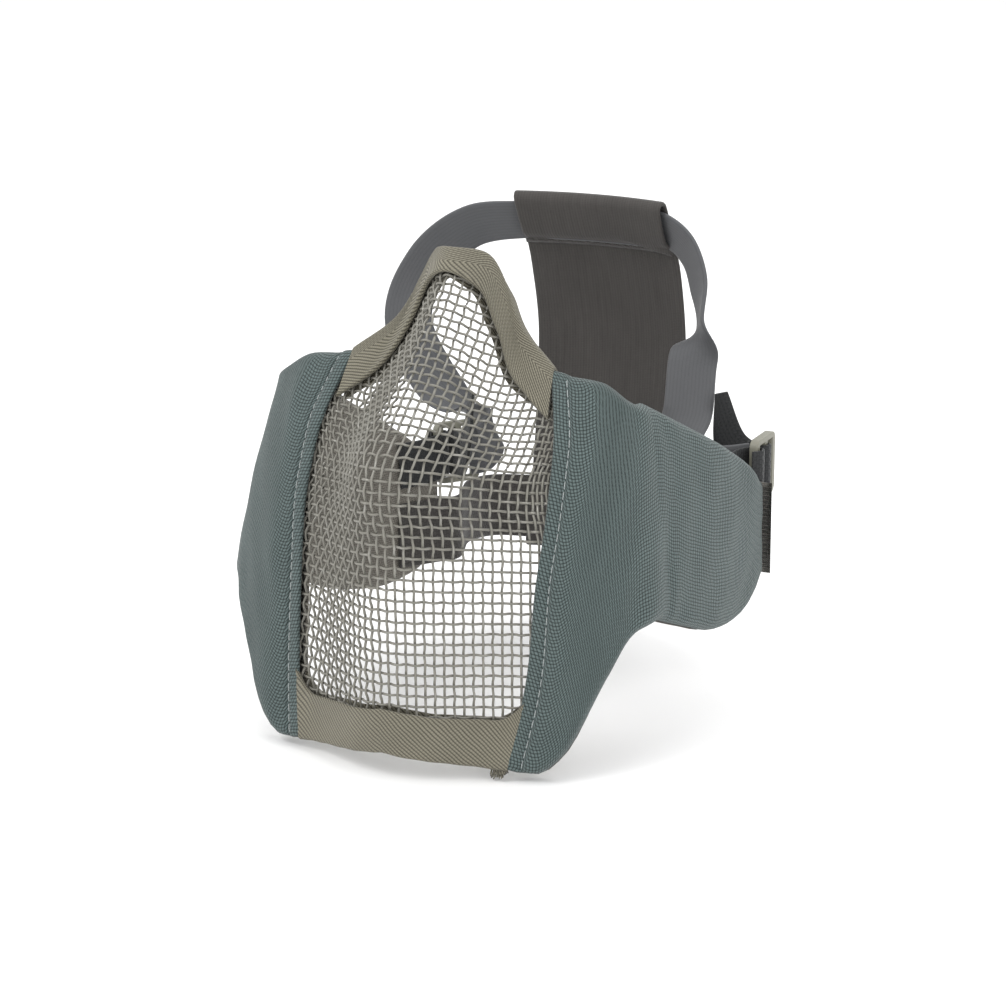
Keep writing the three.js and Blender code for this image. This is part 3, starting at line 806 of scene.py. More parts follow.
def stitches(points, normals, verts, faces, uvs):
    """Adds a row of short threads along a line, each dipping into the fabric at its ends."""
    stitch, gap = sizes().stitch_long / MM, sizes().stitch_gap / MM
    radius = sizes().thread_width / MM / 2
    total = run_lengths(points)

    def at(values, distance):
        n = min(max(int(np.searchsorted(total, distance, side="right")) - 1, 0), len(points) - 2)
        return values[n].lerp(values[n + 1], (distance - total[n]) / (total[n + 1] - total[n]))

    count = int(total[-1] / (stitch + gap))
    pitch = total[-1] / max(count, 1)
    for k in range(count):
        chain = []
        for share, lift in ((0, -0.35), (0.12, 0.06), (0.5, 0.2), (0.88, 0.06), (1, -0.35)):
            distance = k * pitch + stitch * share
            chain.append(at(points, distance) + at(normals, distance).normalized() * lift)
        tube(chain, radius, 6, verts, faces, uvs)


class MASK_OT_stitching(bpy.types.Operator):
    """Sew the thread lines along the front of each cover and across the panel's hems"""
    bl_idname = "mask.stitching"
    bl_label = "Stitching"

    def execute(self, context):
        finish = sewing_thread("cover thread", colours().thread)
        for side, word in SIDES:
            pad = Pad(side)
            verts, faces, uvs = [], [], []
            for which, sign in ((0, 1), (3, -1)):
                points, normals = [], []
                for n in range(91):
                    v = mix(0.012, 0.988, n / 90)
                    rows = pad.rows(v)
                    distances = [row[1] for row in rows]
                    place = float(np.interp(STITCH_LINE, distances, [row[0] for row in rows]))
                    behind = STITCH_LINE - distances[-1] + FLAP_LENGTH
                    points.append(pad.point(place, v, STITCH_LINE, behind, which))
                    normals.append(pad.normal(place, v) * sign)
                stitches(points, normals, verts, faces, uvs)
            piece = new_object(f"{word}_cover_stitching", verts, faces, uvs, [finish])
            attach(piece, "mask_front")
        dark = sewing_thread("hem thread", [c * 1.1 for c in colours().panel])
        verts, faces, uvs = [], [], []
        for z, reach in ((PANEL_TOP - CROWN_HEM + 1.6, 1.4), (PANEL_BOTTOM + NECK_HEM - 1.6, 1.4)):
            line = [panel_lift(mix(-PANEL_HALF + 0.6, PANEL_HALF - 0.6, n / 30), z, reach)
                    for n in range(31)]
            way = [panel_lift(0, z, 1) - panel_point(0, z)] * 31
            stitches(line, way, verts, faces, uvs)
        hem = new_object("hem_stitching", verts, faces, uvs, [dark])
        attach(hem, "harness")
        return {"FINISHED"}


# ---- harness -----------------------------------------------------------------------------------
def panel_point(x, z):
    return Vector((x, through(PANEL_LINE, z) - PANEL_CUP * (x / PANEL_HALF) ** 2, z))


def panel_lift(x, z, lift):
    """A point off the panel towards the wearer."""
    held = min(max(z, PANEL_BOTTOM + 0.1), PANEL_TOP - 0.1)
    dx = panel_point(x + 0.1, held) - panel_point(x - 0.1, held)
    dz = panel_point(x, held + 0.1) - panel_point(x, held - 0.1)
    return panel_point(x, z) + dx.cross(dz).normalized() * lift


def up_panel(z):
    return (panel_point(0, z + 1) - panel_point(0, z - 1)).normalized()


CROWN_HEIGHT = PANEL_TOP - CROWN_HEM / 2 - 0.2
NECK_REAR = PANEL_BOTTOM + NECK_HEM / 2
SLIDER_X = EAR_HALF + HINGE_LIFT
SLIDER_BAR_Y = EAR_DEPTH + SLIDER_REACH
MIDDLE_BAR = (SLIDER_LENGTH - SLIDER_BAR) / 2
STRAND_STEP = (SLIDER_BAR + STRAP_THICK) / 2 + STRAND_GAP


def in_panel(x, z):
    return panel_lift(x, z, HEM_GAP + STRAP_THICK / 2)


def strand_point(way, clear):
    """Where a strand leaves the slider's inner face, ahead of its middle bar or behind it."""
    return Vector((SLIDER_X - SLIDER_THICK / 2 - clear,
                   SLIDER_BAR_Y + MIDDLE_BAR + way * STRAND_STEP, SLIDER_HEIGHT))


def strap_path(guides):
    """A flat strap's path: guides are (centre, direction of its width)."""
    centre = smooth_curve([g[0] for g in guides])
    across = smooth_curve([g[1] for g in guides])

    def path(t, side, lift):
        tangent = (centre(min(t + 1e-4, 1)) - centre(max(t - 1e-4, 0))).normalized()
        wide = across(t)
        wide = (wide - tangent * wide.dot(tangent)).normalized()
        return centre(t) + wide * side + tangent.cross(wide).normalized() * lift
    return path


BAND_FLATS = (-1, -0.85, -0.4, 0.4, 0.85, 1)
BAND_SECTION = ([(flat, 0, 1) for flat in BAND_FLATS] + [(1, 0.7, 0.6), (1, 1, 0), (1, 0.7, -0.6)]
                + [(flat, 0, -1) for flat in reversed(BAND_FLATS)]
                + [(-1, -0.7, -0.6), (-1, -1, 0), (-1, -0.7, 0.6)])


def ribbon(name, path, start, end, width, thick, steps, finishes):
    """A woven band along a path, with rounded selvages."""
    wide = width if callable(width) else (lambda t: width)
    half = thick / 2
    stations = []
    for n in range(steps + 1):
        t = mix(start, end, n / steps)
        reach = wide((t - start) / (end - start)) / 2 - half
        stations.append([path(t, reach * flat + half * selvage, half * up)
                         for flat, selvage, up in BAND_SECTION])
    return loop_strip(name, stations, finishes)


def crown_guides(side):
    slot = folded(side, strand_point(-side, STRAND_GAP + STRAP_THICK / 2))
    exit_point = in_panel(side * PANEL_HALF, CROWN_HEIGHT)
    up = up_panel(CROWN_HEIGHT)
    slot_up = fold_way(side, UP)

    def near(x, y, z):
        return slot + fold_way(side, Vector((x, y, z)))

    def far(x, y, z):
        return exit_point + Vector((side * x, y, z))

    if side > 0:
        return [(slot, slot_up), (near(-7, -2.2, -1), Vector((0.05, 0, 1))),
                (near(-16, -4.5, -1), Vector((0.4, 0.1, 0.9))),
                (near(-22, -2, 6), Vector((0.75, 0.3, 0.55))),
                (near(-22.5, 5, 14), Vector((0.9, 0.4, 0.05))),
                (far(15.5, -18, -36), Vector((0.9, 0.35, -0.1))),
                (far(15.5, -12, -25), Vector((0.4, -0.86, 0.3))),
                (far(13, -7, -14), Vector((0.5, -0.6, 0.6))),
                (far(8, -3, -5), Vector((0.2, -0.45, 0.87))), (exit_point, up)]
    return [(slot, slot_up), (near(-2.6, 4.5, 1), slot_up),
            (near(-0.5, 10.2, 6), Vector((-0.3, -0.1, 0.9))),
            (far(11.5, -20.3, -57), Vector((-0.8, -0.4, 0.4))),
            (far(22.5, -18.3, -48), Vector((-0.85, -0.4, 0.05))),
            (far(31.5, -16.3, -31), Vector((-0.85, -0.3, 0.2))),
            (far(29, -7.3, -15), Vector((-0.3, -0.2, 0.9))),
            (far(16, -2.5, -3), Vector((0, -0.35, 0.92))), (exit_point, up)]


def neck_guides(side):
    sewn = PAD_BACK - LAYER_GAP - STRAP_THICK / 2

    def middle(d):
        s = d / FLAP_LENGTH
        low, high = through(EAR_BOTTOM, s), through(EAR_TOP, s)
        v = (NECK_HEIGHT - low) / (high - low)
        return lifted(lambda a, b: flap_point(a * FLAP_LENGTH, b), s, v, sewn)

    near_end = FLAP_LENGTH - ANCHOR_LENGTH / 2
    up = fold_way(side, (flap_point(near_end, 0.6) - flap_point(near_end, 0.4)).normalized())
    start = folded(side, middle(FLAP_LENGTH - ANCHOR_LENGTH))
    end = folded(side, middle(FLAP_LENGTH - 1))
    exit_point = in_panel(side * PANEL_HALF, NECK_REAR)
    return [(start, up), (start.lerp(end, 0.5), up), (end, up),
            (end + (end - start).normalized() * 8, up),
            (end.lerp(exit_point, 0.5) + Vector((side * 6, 2, 1)), up),
            (exit_point + Vector((side * 9, -4.6, 0.5)), up), (exit_point, up_panel(NECK_REAR))]


class Run:
    """A strap from the wearer's left side through the panel to the right side."""

    def __init__(self, guides_of, height, keep):
        inside = [(in_panel(x * PANEL_HALF, height), up_panel(height)) for x in (0.5, 0, -0.5)]
        guides = guides_of(1) + inside + guides_of(-1)[::-1]
        spans = len(guides) - 1
        self.path = strap_path(guides)
        self.cuts = (keep[0] / spans, 1 - keep[1] / spans)
        self.knees = (2 / spans, 1 - 2 / spans)
        self.exit_y = in_panel(PANEL_HALF, height).y

    def build(self, names, width, finish):
        """Makes the end pieces, which run from the sliders along the flaps, and the rear piece
        through the panel.
        """
        ends = []
        for (side, word), start, knee, end in zip(SIDES, (0, 1), self.knees, self.cuts):
            spans = [("front", start, end, f"{word}_flap", "mask_front")]
            if names == "crown":
                spans = [("slot", start, knee, f"{word}_buckle", f"{word}_flap"),
                         ("front", knee, end, f"{word}_flap", "mask_front")]
            for part, a, b, first, second in spans:
                piece = ribbon(f"{word}_{names}_strap_{part}", self.path, a, b, width,
                               STRAP_THICK, 20 if part == "slot" else 60, [finish])
                near, far = self.path(a, 0, 0), self.path(b, 0, 0)
                if names == "neck":
                    near = near.lerp(far, 0.35)
                tuple(near * MM)
                tuple(far * MM)
                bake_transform(piece)
                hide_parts(f"{word}_{names}_strap_end")
                ends.append(piece)
        rear = ribbon(f"{names}_strap_rear", self.path, *self.cuts, width, STRAP_THICK, 130,
                      [finish])
        begin = max(self.path(cut, 0, 0).y for cut in self.cuts)
        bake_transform(rear)
        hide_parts(f"{names}_strap")
        return ends + [rear]


class MASK_OT_straps(bpy.types.Operator):
    """Run the crown strap and the neck strap from the flaps through the panel"""
    bl_idname = "mask.straps"
    bl_label = "Straps"

    def execute(self, context):
        crown = Run(crown_guides, CROWN_HEIGHT, (5, 4))
        for piece in crown.build("crown", STRAP_WIDTH, strap_elastic("strap elastic",
                                                                     colours().strap)):
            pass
        neck = Run(neck_guides, NECK_REAR, (4, 4))
        for piece in neck.build("neck", NECK_WIDTH, dark_webbing("neck webbing",
                                                                 colours().panel)):
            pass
        return {"FINISHED"}


class MASK_OT_panel(bpy.types.Operator):
    """Fold the wide elastic of the back panel into its two hems"""
    bl_idname = "mask.panel"
    bl_label = "Back panel"

    def execute(self, context):
        hem_z, neck_z = PANEL_TOP - CROWN_HEM, PANEL_BOTTOM + NECK_HEM
        rise = HEM_GAP + STRAP_THICK + HEM_GAP + HEM_THICK / 2
        line = [(hem_z, 0.75), (hem_z + 1.2, 0.8), (hem_z + 2.6, 1.1), (hem_z + 4, 2.2),
                (hem_z + 5.5, rise), (hem_z + 8, rise + 0.3), (hem_z + 11, rise + 0.3),
                (hem_z + 14, rise), (PANEL_TOP - 0.9, rise - 0.2), (PANEL_TOP + 0.1, 2.2),
                (PANEL_TOP + 0.5, 1.2), (PANEL_TOP + 0.2, 0.1), (PANEL_TOP - 0.9, -0.65)]
        line += [(mix(PANEL_TOP - 3, PANEL_BOTTOM + 3, n / 34), -0.8) for n in range(35)]
        line += [(PANEL_BOTTOM + 0.9, -0.65), (PANEL_BOTTOM - 0.2, 0.1), (PANEL_BOTTOM - 0.5, 1.2),
                 (PANEL_BOTTOM - 0.1, 2.2), (PANEL_BOTTOM + 0.9, rise - 0.2),
                 (PANEL_BOTTOM + 4, rise), (PANEL_BOTTOM + 8, rise + 0.2),
                 (PANEL_BOTTOM + 13, rise + 0.2), (neck_z - 6, rise), (neck_z - 4, 2.2),
                 (neck_z - 2.6, 1.1), (neck_z - 1.2, 0.8), (neck_z, 0.75)]
        half = HEM_THICK / 2 - 0.05

        def point(x, n, off):
            z, lift = line[n]
            before, after = line[max(n - 1, 0)], line[min(n + 1, len(line) - 1)]
            away = Vector((after[0] - before[0], after[1] - before[1])).normalized()
            z, lift = z + away.y * off, lift - away.x * off
            if n < 9:
                reach = abs((x - 3) * 0.39 + (z - 62) * 0.92)
                lift += 0.9 * math.exp(-(reach / 1.1) ** 2) * ease((x - 1) / 5)
            if 15 < n < 46:
                lift += 0.35 * math.sin(0.22 * x + 0.05 * z) * math.sin(0.11 * z)
            return panel_lift(x, z, lift)

        edges = (0, 0.3, 0.8, 1.6)
        xs = [-PANEL_HALF + e for e in edges]
        xs += [mix(-PANEL_HALF + 4, PANEL_HALF - 4, n / 14) for n in range(15)]
        xs += [PANEL_HALF - e for e in reversed(edges)]
        last = len(line) - 1

        def grid(sign):
            rows = []
            for x in xs:
                edge = min((PANEL_HALF - abs(x)) / 0.8, 1.0)
                row = []
                for n in range(last + 1):
                    rim = 0.0 if n in (0, last) else math.sqrt(1 - (1 - edge) ** 2)
                    row.append(point(x, n, sign * half * rim))
                rows.append(row)
            return rows

        finish = panel_elastic("panel elastic", colours().panel)
        piece = pillow("back_panel_elastic", grid(1), grid(-1), [finish])
        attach(piece, "harness")
        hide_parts("back_panel", "crown_hem", "neck_hem")
        return {"FINISHED"}


# ---- sliders -----------------------------------------------------------------------------------
LOOP_WIDTH, LOOP_THICK = 14.0, 0.9
TAIL_WIDTH, TAIL_TIP, TAIL_THICK, TAPER_FROM = STRAP_WIDTH - 1, 4.0, 1.0, 0.8


class MASK_OT_sliders(bpy.types.Operator):
    """Make the sliders, the sewn loops that hold them and the dark tails threaded through"""
    bl_idname = "mask.sliders"
    bl_label = "Sliders and tails"

    def execute(self, context):
        plastic = moulded_plastic("slider plastic", colours().plastic)
        tab_finish = dark_webbing("loop webbing", colours().webbing)
        tail_finish = dark_webbing("dark strap tail", colours().webbing)
        for side, word in SIDES:
            self.slider(word, plastic)
            self.tab(side, word, tab_finish)
            self.tail(side, word, tail_finish)
        return {"FINISHED"}

    def slider(self, word, finish):
        """The slider with its edges eased, over its solid."""
        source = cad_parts[f"{word}_slider"]
        mesh = source.data.copy()
        mesh.materials.clear()
        mesh.materials.append(finish)
        made = linked(f"{word}_slider_frame", mesh)
        weld = made.modifiers.new("Weld", "WELD")
        weld.merge_threshold = 1e-5
        ease_edges = made.modifiers.new("Ease", "BEVEL")
        ease_edges.width = 0.0006
        ease_edges.segments = 3
        ease_edges.limit_method = "ANGLE"
        ease_edges.angle_limit = math.radians(50)
        made.data.polygons.foreach_set("use_smooth", [True] * len(made.data.polygons))
        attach(made, f"{word}_buckle")
        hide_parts(f"{word}_slider")

    def carried(self, side, path):
        return lambda t, wide, lift: folded(side, path(t, wide, lift))

    def tab(self, side, word, finish):
        thick = LOOP_THICK
        wrap = math.hypot(SLIDER_THICK, SLIDER_BAR) / 2 + STRAND_GAP + thick / 2
        inside = flap_point(FLAP_LENGTH - 12, 0.5).x - FOAM_THICK - LAYER_GAP - LINING_THICK
        sewn = inside - LAYER_GAP - thick
        places = [(SLIDER_X + wrap * 0.2, EAR_DEPTH + 0.8, SLIDER_HEIGHT)]
        places += [(SLIDER_X + wrap * math.cos(a * math.pi * 0.9),
                    SLIDER_BAR_Y + wrap * math.sin(a * math.pi * 0.9), SLIDER_HEIGHT)
                   for a in (-0.1, 0.3, 0.7)]
        places += [(sewn + 0.5, EAR_DEPTH + 2, SLIDER_HEIGHT),
                   (sewn - 0.4, EAR_DEPTH - 5, SLIDER_HEIGHT - 1),
                   (sewn - 0.8, EAR_DEPTH - 15, SLIDER_HEIGHT - 1.5)]
        path = strap_path([(Vector(place), UP) for place in places])
        piece = ribbon(f"{word}_loop", self.carried(side, path), 0, 1, LOOP_WIDTH, thick, 44,
                       [finish])
        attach(piece, f"{word}_flap")
        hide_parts(f"{word}_slider_tab")

    def tail(self, side, word, finish):
        start = strand_point(side, STRAND_GAP + 0.3)
        outer = SLIDER_X + SLIDER_THICK / 2 + STRAP_THICK / 2 + 0.1
        bar = SLIDER_BAR_Y + MIDDLE_BAR
        around = ((SLIDER_X - 0.9, -STRAND_STEP), (SLIDER_X + 0.5, -STRAND_STEP), (outer, -0.9),
                  (outer, 0.9), (SLIDER_X + 0.5, STRAND_STEP))
        guides = [(Vector((x, bar + side * way, SLIDER_HEIGHT)), UP) for x, way in around]
        guides.append((start, UP))
        for hang, across in (((-5, side * 1.5, -0.5), (0.1, 0.1, 1)),
                             ((-10, side * 3, 5), (0.9, 0.4, 0.5)),
                             ((-13, side * 2.5, 20), (0.9, 0.4, 0.1))):
            guides.append((start + Vector(hang), Vector(across)))
        path = strap_path(guides)

        def taper(share):
            if share < TAPER_FROM:
                return TAIL_WIDTH
            return mix(TAIL_WIDTH, TAIL_TIP, (share - TAPER_FROM) / (1 - TAPER_FROM))

        # The tail continues the grey crown strap and is drawn in the dark webbing colour.
        piece = ribbon(f"{word}_tail", self.carried(side, path), 0, 1, taper, TAIL_THICK, 90,
                       [finish])
        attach(piece, f"{word}_buckle")
        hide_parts(f"{word}_strap_tail")


# ---- finishes ----------------------------------------------------------------------------------
class Value:
    """A number socket that takes part in sums, adding its Math nodes as it goes."""

    def __init__(self, paint, socket):
        self.paint, self.socket = paint, socket

    def _with(self, operation, *others):
        inputs = dict(enumerate((self,) + others))
        return self.paint.add("ShaderNodeMath", {"operation": operation}, inputs)

    def __add__(self, other):
        return self._with("ADD", other)

    def __sub__(self, other):
        return self._with("SUBTRACT", other)

    def __rsub__(self, other):
        return (self * -1) + other

    def __mul__(self, other):
        return self._with("MULTIPLY", other)

    def __truediv__(self, other):
        return self._with("DIVIDE", other)

    def __pow__(self, other):
        return self._with("POWER", other)

    __radd__, __rmul__ = __add__, __mul__

    def sine(self):
        return self._with("SINE")

    def size(self):
        return self._with("ABSOLUTE")

    def ribs(self):
        """Ridges, one for each whole number."""
        return (self * math.pi).sine().size()

    def above(self, limit):
        return self._with("GREATER_THAN", limit)

    def least(self, other):
        return self._with("MINIMUM", other)

    def most(self, other):
        return self._with("MAXIMUM", other)


class Paint:
    """A material under construction."""

    def __init__(self, name):
        self.material = bpy.data.materials.new(name)
        self.material.use_nodes = True
        self.tree = self.material.node_tree
        self.shader = self.tree.nodes["Principled BSDF"]

    def add(self, kind, settings=None, inputs=None, out=0):
        """Adds a node: settings first, then its sockets' values or links; gives one output."""
        node = self.tree.nodes.new(kind)
        for key, value in (settings or {}).items():
            setattr(node, key, value)
        for key, value in (inputs or {}).items():
            self.put(node.inputs[key], value)
        return Value(self, node.outputs[out])

    def put(self, socket, value):
        if isinstance(value, Value):
            self.tree.links.new(value.socket, socket)
        else:
            socket.default_value = value

    def threads(self):
        """Distances along and across the piece, in metres."""
        place = self.add("ShaderNodeUVMap", {"uv_map": "Threads"})
        parts = self.add("ShaderNodeSeparateXYZ", inputs={0: place})
        node = parts.socket.node
        return place, Value(self, node.outputs[0]), Value(self, node.outputs[1])

    def place(self):
        """The place on the object, in metres."""
        return self.add("ShaderNodeTexCoord", out="Object")

    def noise(self, where, scale, detail=2.0, rough=0.5):
        return self.add("ShaderNodeTexNoise", {"noise_dimensions": "3D"},
                        {"Vector": where, "Scale": scale, "Detail": detail, "Roughness": rough})

    def blend(self, share, first, second):
        """A colour between two colours."""
        return self.add("ShaderNodeMix", {"data_type": "RGBA"}, {0: share, 6: first, 7: second},
                        out=2)

    def tinted(self, base, share):
        """A colour scaled by a number."""
        grey = self.add("ShaderNodeCombineXYZ", inputs={0: share, 1: share, 2: share})
        return self.add("ShaderNodeMix", {"data_type": "RGBA", "blend_type": "MULTIPLY"},
                        {0: 1.0, 6: base, 7: grey}, out=2)

    def cloth(self, tone, share, dark, light, mottle):
        """The tone from dark to light by a share, which carries the painted shade between the
        threads, unevenly dyed.
        """
        return self.tinted(self.blend(share, rgba(tone, dark), rgba(tone, light)), mottle)

    def bump(self, height, depth, strength):
        return self.add("ShaderNodeBump",
                        inputs={"Height": height, "Distance": depth, "Strength": strength})

    def finish(self, **sockets):
        names = {"colour": "Base Color", "rough": "Roughness", "metal": "Metallic",
                 "normal": "Normal", "sheen": "Sheen Weight", "sheen_rough": "Sheen Roughness",
                 "coat": "Coat Weight", "coat_rough": "Coat Roughness",
                 "specular": "Specular IOR Level"}
        for key, value in sockets.items():
            self.put(self.shader.inputs[names[key]], value)
        return self.material


def rgba(values, scale=1.0):
    return (values[0] * scale, values[1] * scale, values[2] * scale, 1.0)


# pitches in metres
PLY_LONG, PLY_WIDE = 0.0007, 0.0009
STRAP_CORD, STRAP_PICK = 0.0011, 0.0005
WEBBING_WARP, WEBBING_WEFT = 0.0009, 0.0012
PICK_SHARE = 0.62           # pitch of the panel's picks as a share of its ribs'


def woven_cover(name, tone):
    """Coarse plain weave: each thread rises over the next, with painted shade that darkens the
    gaps between threads and lightens the raised threads.
    """
    paint = Paint(name)
    where, along, across = paint.threads()
    pitch = sizes().cover_thread
    drift = paint.noise(where, 260, 1.0) * 0.5
    slow = paint.noise(where, 45, 2.0)
    a = along / pitch + drift + slow * 0.8
    b = across / pitch + drift * 0.8 + slow * 0.6
    sa, sb = (a * math.pi).sine(), (b * math.pi).sine()
    over = (sa * sb).above(0.0)
    fa, fb = sa.size(), sb.size()
    warp = (fa ** 0.8) * (fb ** 0.4)
    weft = (fb ** 0.8) * (fa ** 0.4)
    height = over * warp + (1 - over) * weft * 0.86
    fibre = paint.noise(where, 5200, 2.0, 0.7)
    large = paint.noise(where, 60, 3.0, 0.55)
    # painted shade: gap darkens the colour where the threads part, and height lightens it where a
    # thread stands high
    gap = (1 - fa.least(fb)) ** 5
    share = height * 0.78 + fibre * 0.46 - gap * 0.35 - 0.06
    colour_here = paint.cloth(tone, share, 0.14, 1.60, large * 0.30 + 0.85)
    relief = paint.bump(height + fibre * 0.25, 0.00028, 0.75)
    return paint.finish(colour=colour_here, rough=0.94 - height * 0.16, normal=relief,
                        sheen=0.18, sheen_rough=0.45, specular=0.25)


def knitted_lining(name, tone):
    """Fine knit: small loops in offset rows."""
    paint = Paint(name)
    where, along, across = paint.threads()
    pitch = sizes().lining_thread
    drift = paint.noise(where, 320, 1.0) * 0.6
    a = along / pitch + drift
    b = across / pitch
    loops = a.ribs() * ((b * math.pi + a * math.pi * 0.5).sine().size() ** 0.6)
    fuzz = paint.noise(where, 3200, 3.0, 0.65)
    large = paint.noise(where, 50, 2.0)
    # painted shade: the colour is lighter on the knitted loops and darker between them
    colour_here = paint.cloth(tone, loops * 0.6 + fuzz * 0.4, 0.5, 1.35, large * 0.3 + 0.85)
    relief = paint.bump(loops + fuzz * 0.4, 0.00022, 0.7)
    return paint.finish(colour=colour_here, rough=0.9 - fuzz * 0.1, normal=relief, sheen=0.25,
                        sheen_rough=0.5, specular=0.2)


def ribbed_tape(name, tone, chevron):
    """Twill tape: slanting ribs, turning back at the chevron where it has one."""
    paint = Paint(name)
    where, along, across = paint.threads()
    rib = sizes().tape_rib
    drift = paint.noise(where, 240, 1.0) * 0.35
    side = (across - chevron).size() if chevron else across
    slant = math.radians(29 if chevron else -31)
    phase = (side * math.cos(slant) - along * math.sin(slant)) / rib + drift
    run = (side * math.sin(slant) + along * math.cos(slant)) / (rib * 1.25)
    ridge = phase.ribs() ** 0.75
    beads = (run + (phase * math.pi).sine() * 0.15).ribs()
    fibre = paint.noise(where, 4800, 2.0, 0.7)
    large = paint.noise(where, 55, 2.0)
    height = ridge * (beads * 0.3 + 0.7)
    # painted shade: the colour is lighter on the raised ribs and darker in the grooves between
    # them
    share = height * 0.85 + fibre * 0.4 - 0.2
    colour_here = paint.cloth(tone, share, 0.16, 1.45, large * 0.28 + 0.86)
    relief = paint.bump(height + fibre * 0.2, 0.00030, 0.8)
    return paint.finish(colour=colour_here, rough=0.92 - height * 0.15, normal=relief,
                        sheen=0.12, sheen_rough=0.4, specular=0.28)


def panel_elastic(name, tone):
    """Wide elastic: fine cords along it, crossed by close picks, with worn streaks."""
    paint = Paint(name)
    where, along, across = paint.threads()
    rib = sizes().panel_rib
    cords = (across * math.pi / rib).sine().size() ** 0.6
    picks = (along * math.pi / (rib * PICK_SHARE)).sine().size()
    stretch = paint.add("ShaderNodeVectorMath", {"operation": "MULTIPLY"},
                        {0: where, 1: (60.0, 900.0, 1.0)})
    streak = paint.noise(stretch, 1.0, 3.0, 0.6)
    fibre = paint.noise(where, 4200, 2.0, 0.7)
    large = paint.noise(where, 40, 3.0)
    height = cords * 0.6 + picks * 0.4
    # painted shade: the colour is lighter on the raised cords and picks and darker between them;
    # the streaks are uneven wear along the elastic
    share = height * 0.4 + streak * 0.55 + fibre * 0.3 - 0.15
    colour_here = paint.cloth(tone, share, 0.62, 1.35, large * 0.30 + 0.85)
    relief = paint.bump(height + fibre * 0.25, 0.00016, 0.6)
    return paint.finish(colour=colour_here, rough=0.9 - cords * 0.08, normal=relief, sheen=0.15,
                        sheen_rough=0.4, specular=0.2)


def strap_elastic(name, tone):
    """Smooth strap elastic: close ribs along it."""
    paint = Paint(name)
    where, along, across = paint.threads()
    cords = (across * math.pi / STRAP_CORD).sine().size() ** 0.5
    picks = (along * math.pi / STRAP_PICK).sine().size()
    fibre = paint.noise(where, 3600, 2.0, 0.6)
    large = paint.noise(where, 70, 2.0)
    height = cords * 0.7 + picks * 0.3
    # painted shade: the colour is lighter on the raised cords and picks and darker between them
    share = height * 0.35 + fibre * 0.35 + large * 0.3
    colour_here = paint.blend(share, rgba(tone, 0.74), rgba(tone, 1.18))
    relief = paint.bump(height + fibre * 0.2, 0.00012, 0.45)
    return paint.finish(colour=colour_here, rough=0.72 - cords * 0.1, normal=relief, sheen=0.3,
                        sheen_rough=0.35, specular=0.35)


def dark_webbing(name, tone):
    """Plain webbing with a thick weft."""
    paint = Paint(name)
    where, along, across = paint.threads()
    a, b = along / WEBBING_WARP, across / WEBBING_WEFT
    sa, sb = (a * math.pi).sine(), (b * math.pi).sine()
    over = (sa * sb).above(0.0)
    height = over * (sa.size() ** 0.7) + (1 - over) * (sb.size() ** 0.7) * 0.8
    fibre = paint.noise(where, 4000, 2.0, 0.65)
    large = paint.noise(where, 60, 2.0)
    # painted shade: the colour is lighter where a thread stands high and darker between the
    # threads
    colour_here = paint.cloth(tone, height * 0.6 + fibre * 0.4, 0.5, 1.5, large * 0.4 + 0.8)
    relief = paint.bump(height + fibre * 0.3, 0.0002, 0.6)
    return paint.finish(colour=colour_here, rough=0.86 - height * 0.12, normal=relief, sheen=0.2,
                        sheen_rough=0.4, specular=0.25)


def painted_wire(name, tone):
    """Paint on drawn wire: slightly pitted, thinner and brighter where it has rubbed."""
    paint = Paint(name)
    where = paint.place()
    patch = paint.noise(where, 260, 3.0, 0.6)
    grain = paint.noise(where, 2400, 2.0, 0.6)
    worn = ((patch - 0.56) * 9).most(0.0).least(1.0)
    tone_here = paint.blend(patch, rgba(tone, 0.72), rgba(tone, 1.22))
    colour_here = paint.blend(worn * 0.5, tone_here, (0.34, 0.335, 0.31, 1.0))
    relief = paint.bump(grain + patch, 0.00006, 0.6)
    return paint.finish(colour=colour_here, rough=0.46 - worn * 0.14 + grain * 0.1,
                        metal=worn * 0.5 + 0.15, normal=relief, coat=0.25, coat_rough=0.3)


def moulded_plastic(name, tone):
    """Moulded plastic with a fine spark-eroded skin and rubbed patches."""
    paint = Paint(name)
    where = paint.place()
    grain = paint.noise(where, 3800, 3.0, 0.6)
    patch = paint.noise(where, 190, 3.0)
    colour_here = paint.blend(patch, rgba(tone, 0.84), rgba(tone, 1.12))
    relief = paint.bump(grain, 0.00005, 0.5)
    return paint.finish(colour=colour_here, rough=0.38 + patch * 0.22, normal=relief,
                        specular=0.5)


def sewing_thread(name, tone):
    """Twisted thread."""
    paint = Paint(name)
    where, along, across = paint.threads()
    ply = (along / PLY_LONG + across / PLY_WIDE).ribs()
    fuzz = paint.noise(where, 5000, 2.0)
    # painted shade: the colour is lighter on the twisted plies and darker in the grooves between
    # them
    colour_here = paint.blend(ply * 0.7 + fuzz * 0.3, rgba(tone, 0.6), rgba(tone, 1.15))
    relief = paint.bump(ply, 0.0001, 0.6)
    return paint.finish(colour=colour_here, rough=0.7 + fuzz * 0.2, normal=relief, sheen=0.2,
                        sheen_rough=0.4)


def floor_finish(name, tone):
    """Matt paper with the faintest mottling."""
    paint = Paint(name)
    mottle = paint.noise(paint.place(), 6, 2.0)
    colour_here = paint.blend(mottle, rgba(tone, 0.99), rgba(tone, 1.01))
    return paint.finish(colour=colour_here, rough=0.9 + mottle * 0.05, specular=0.1)


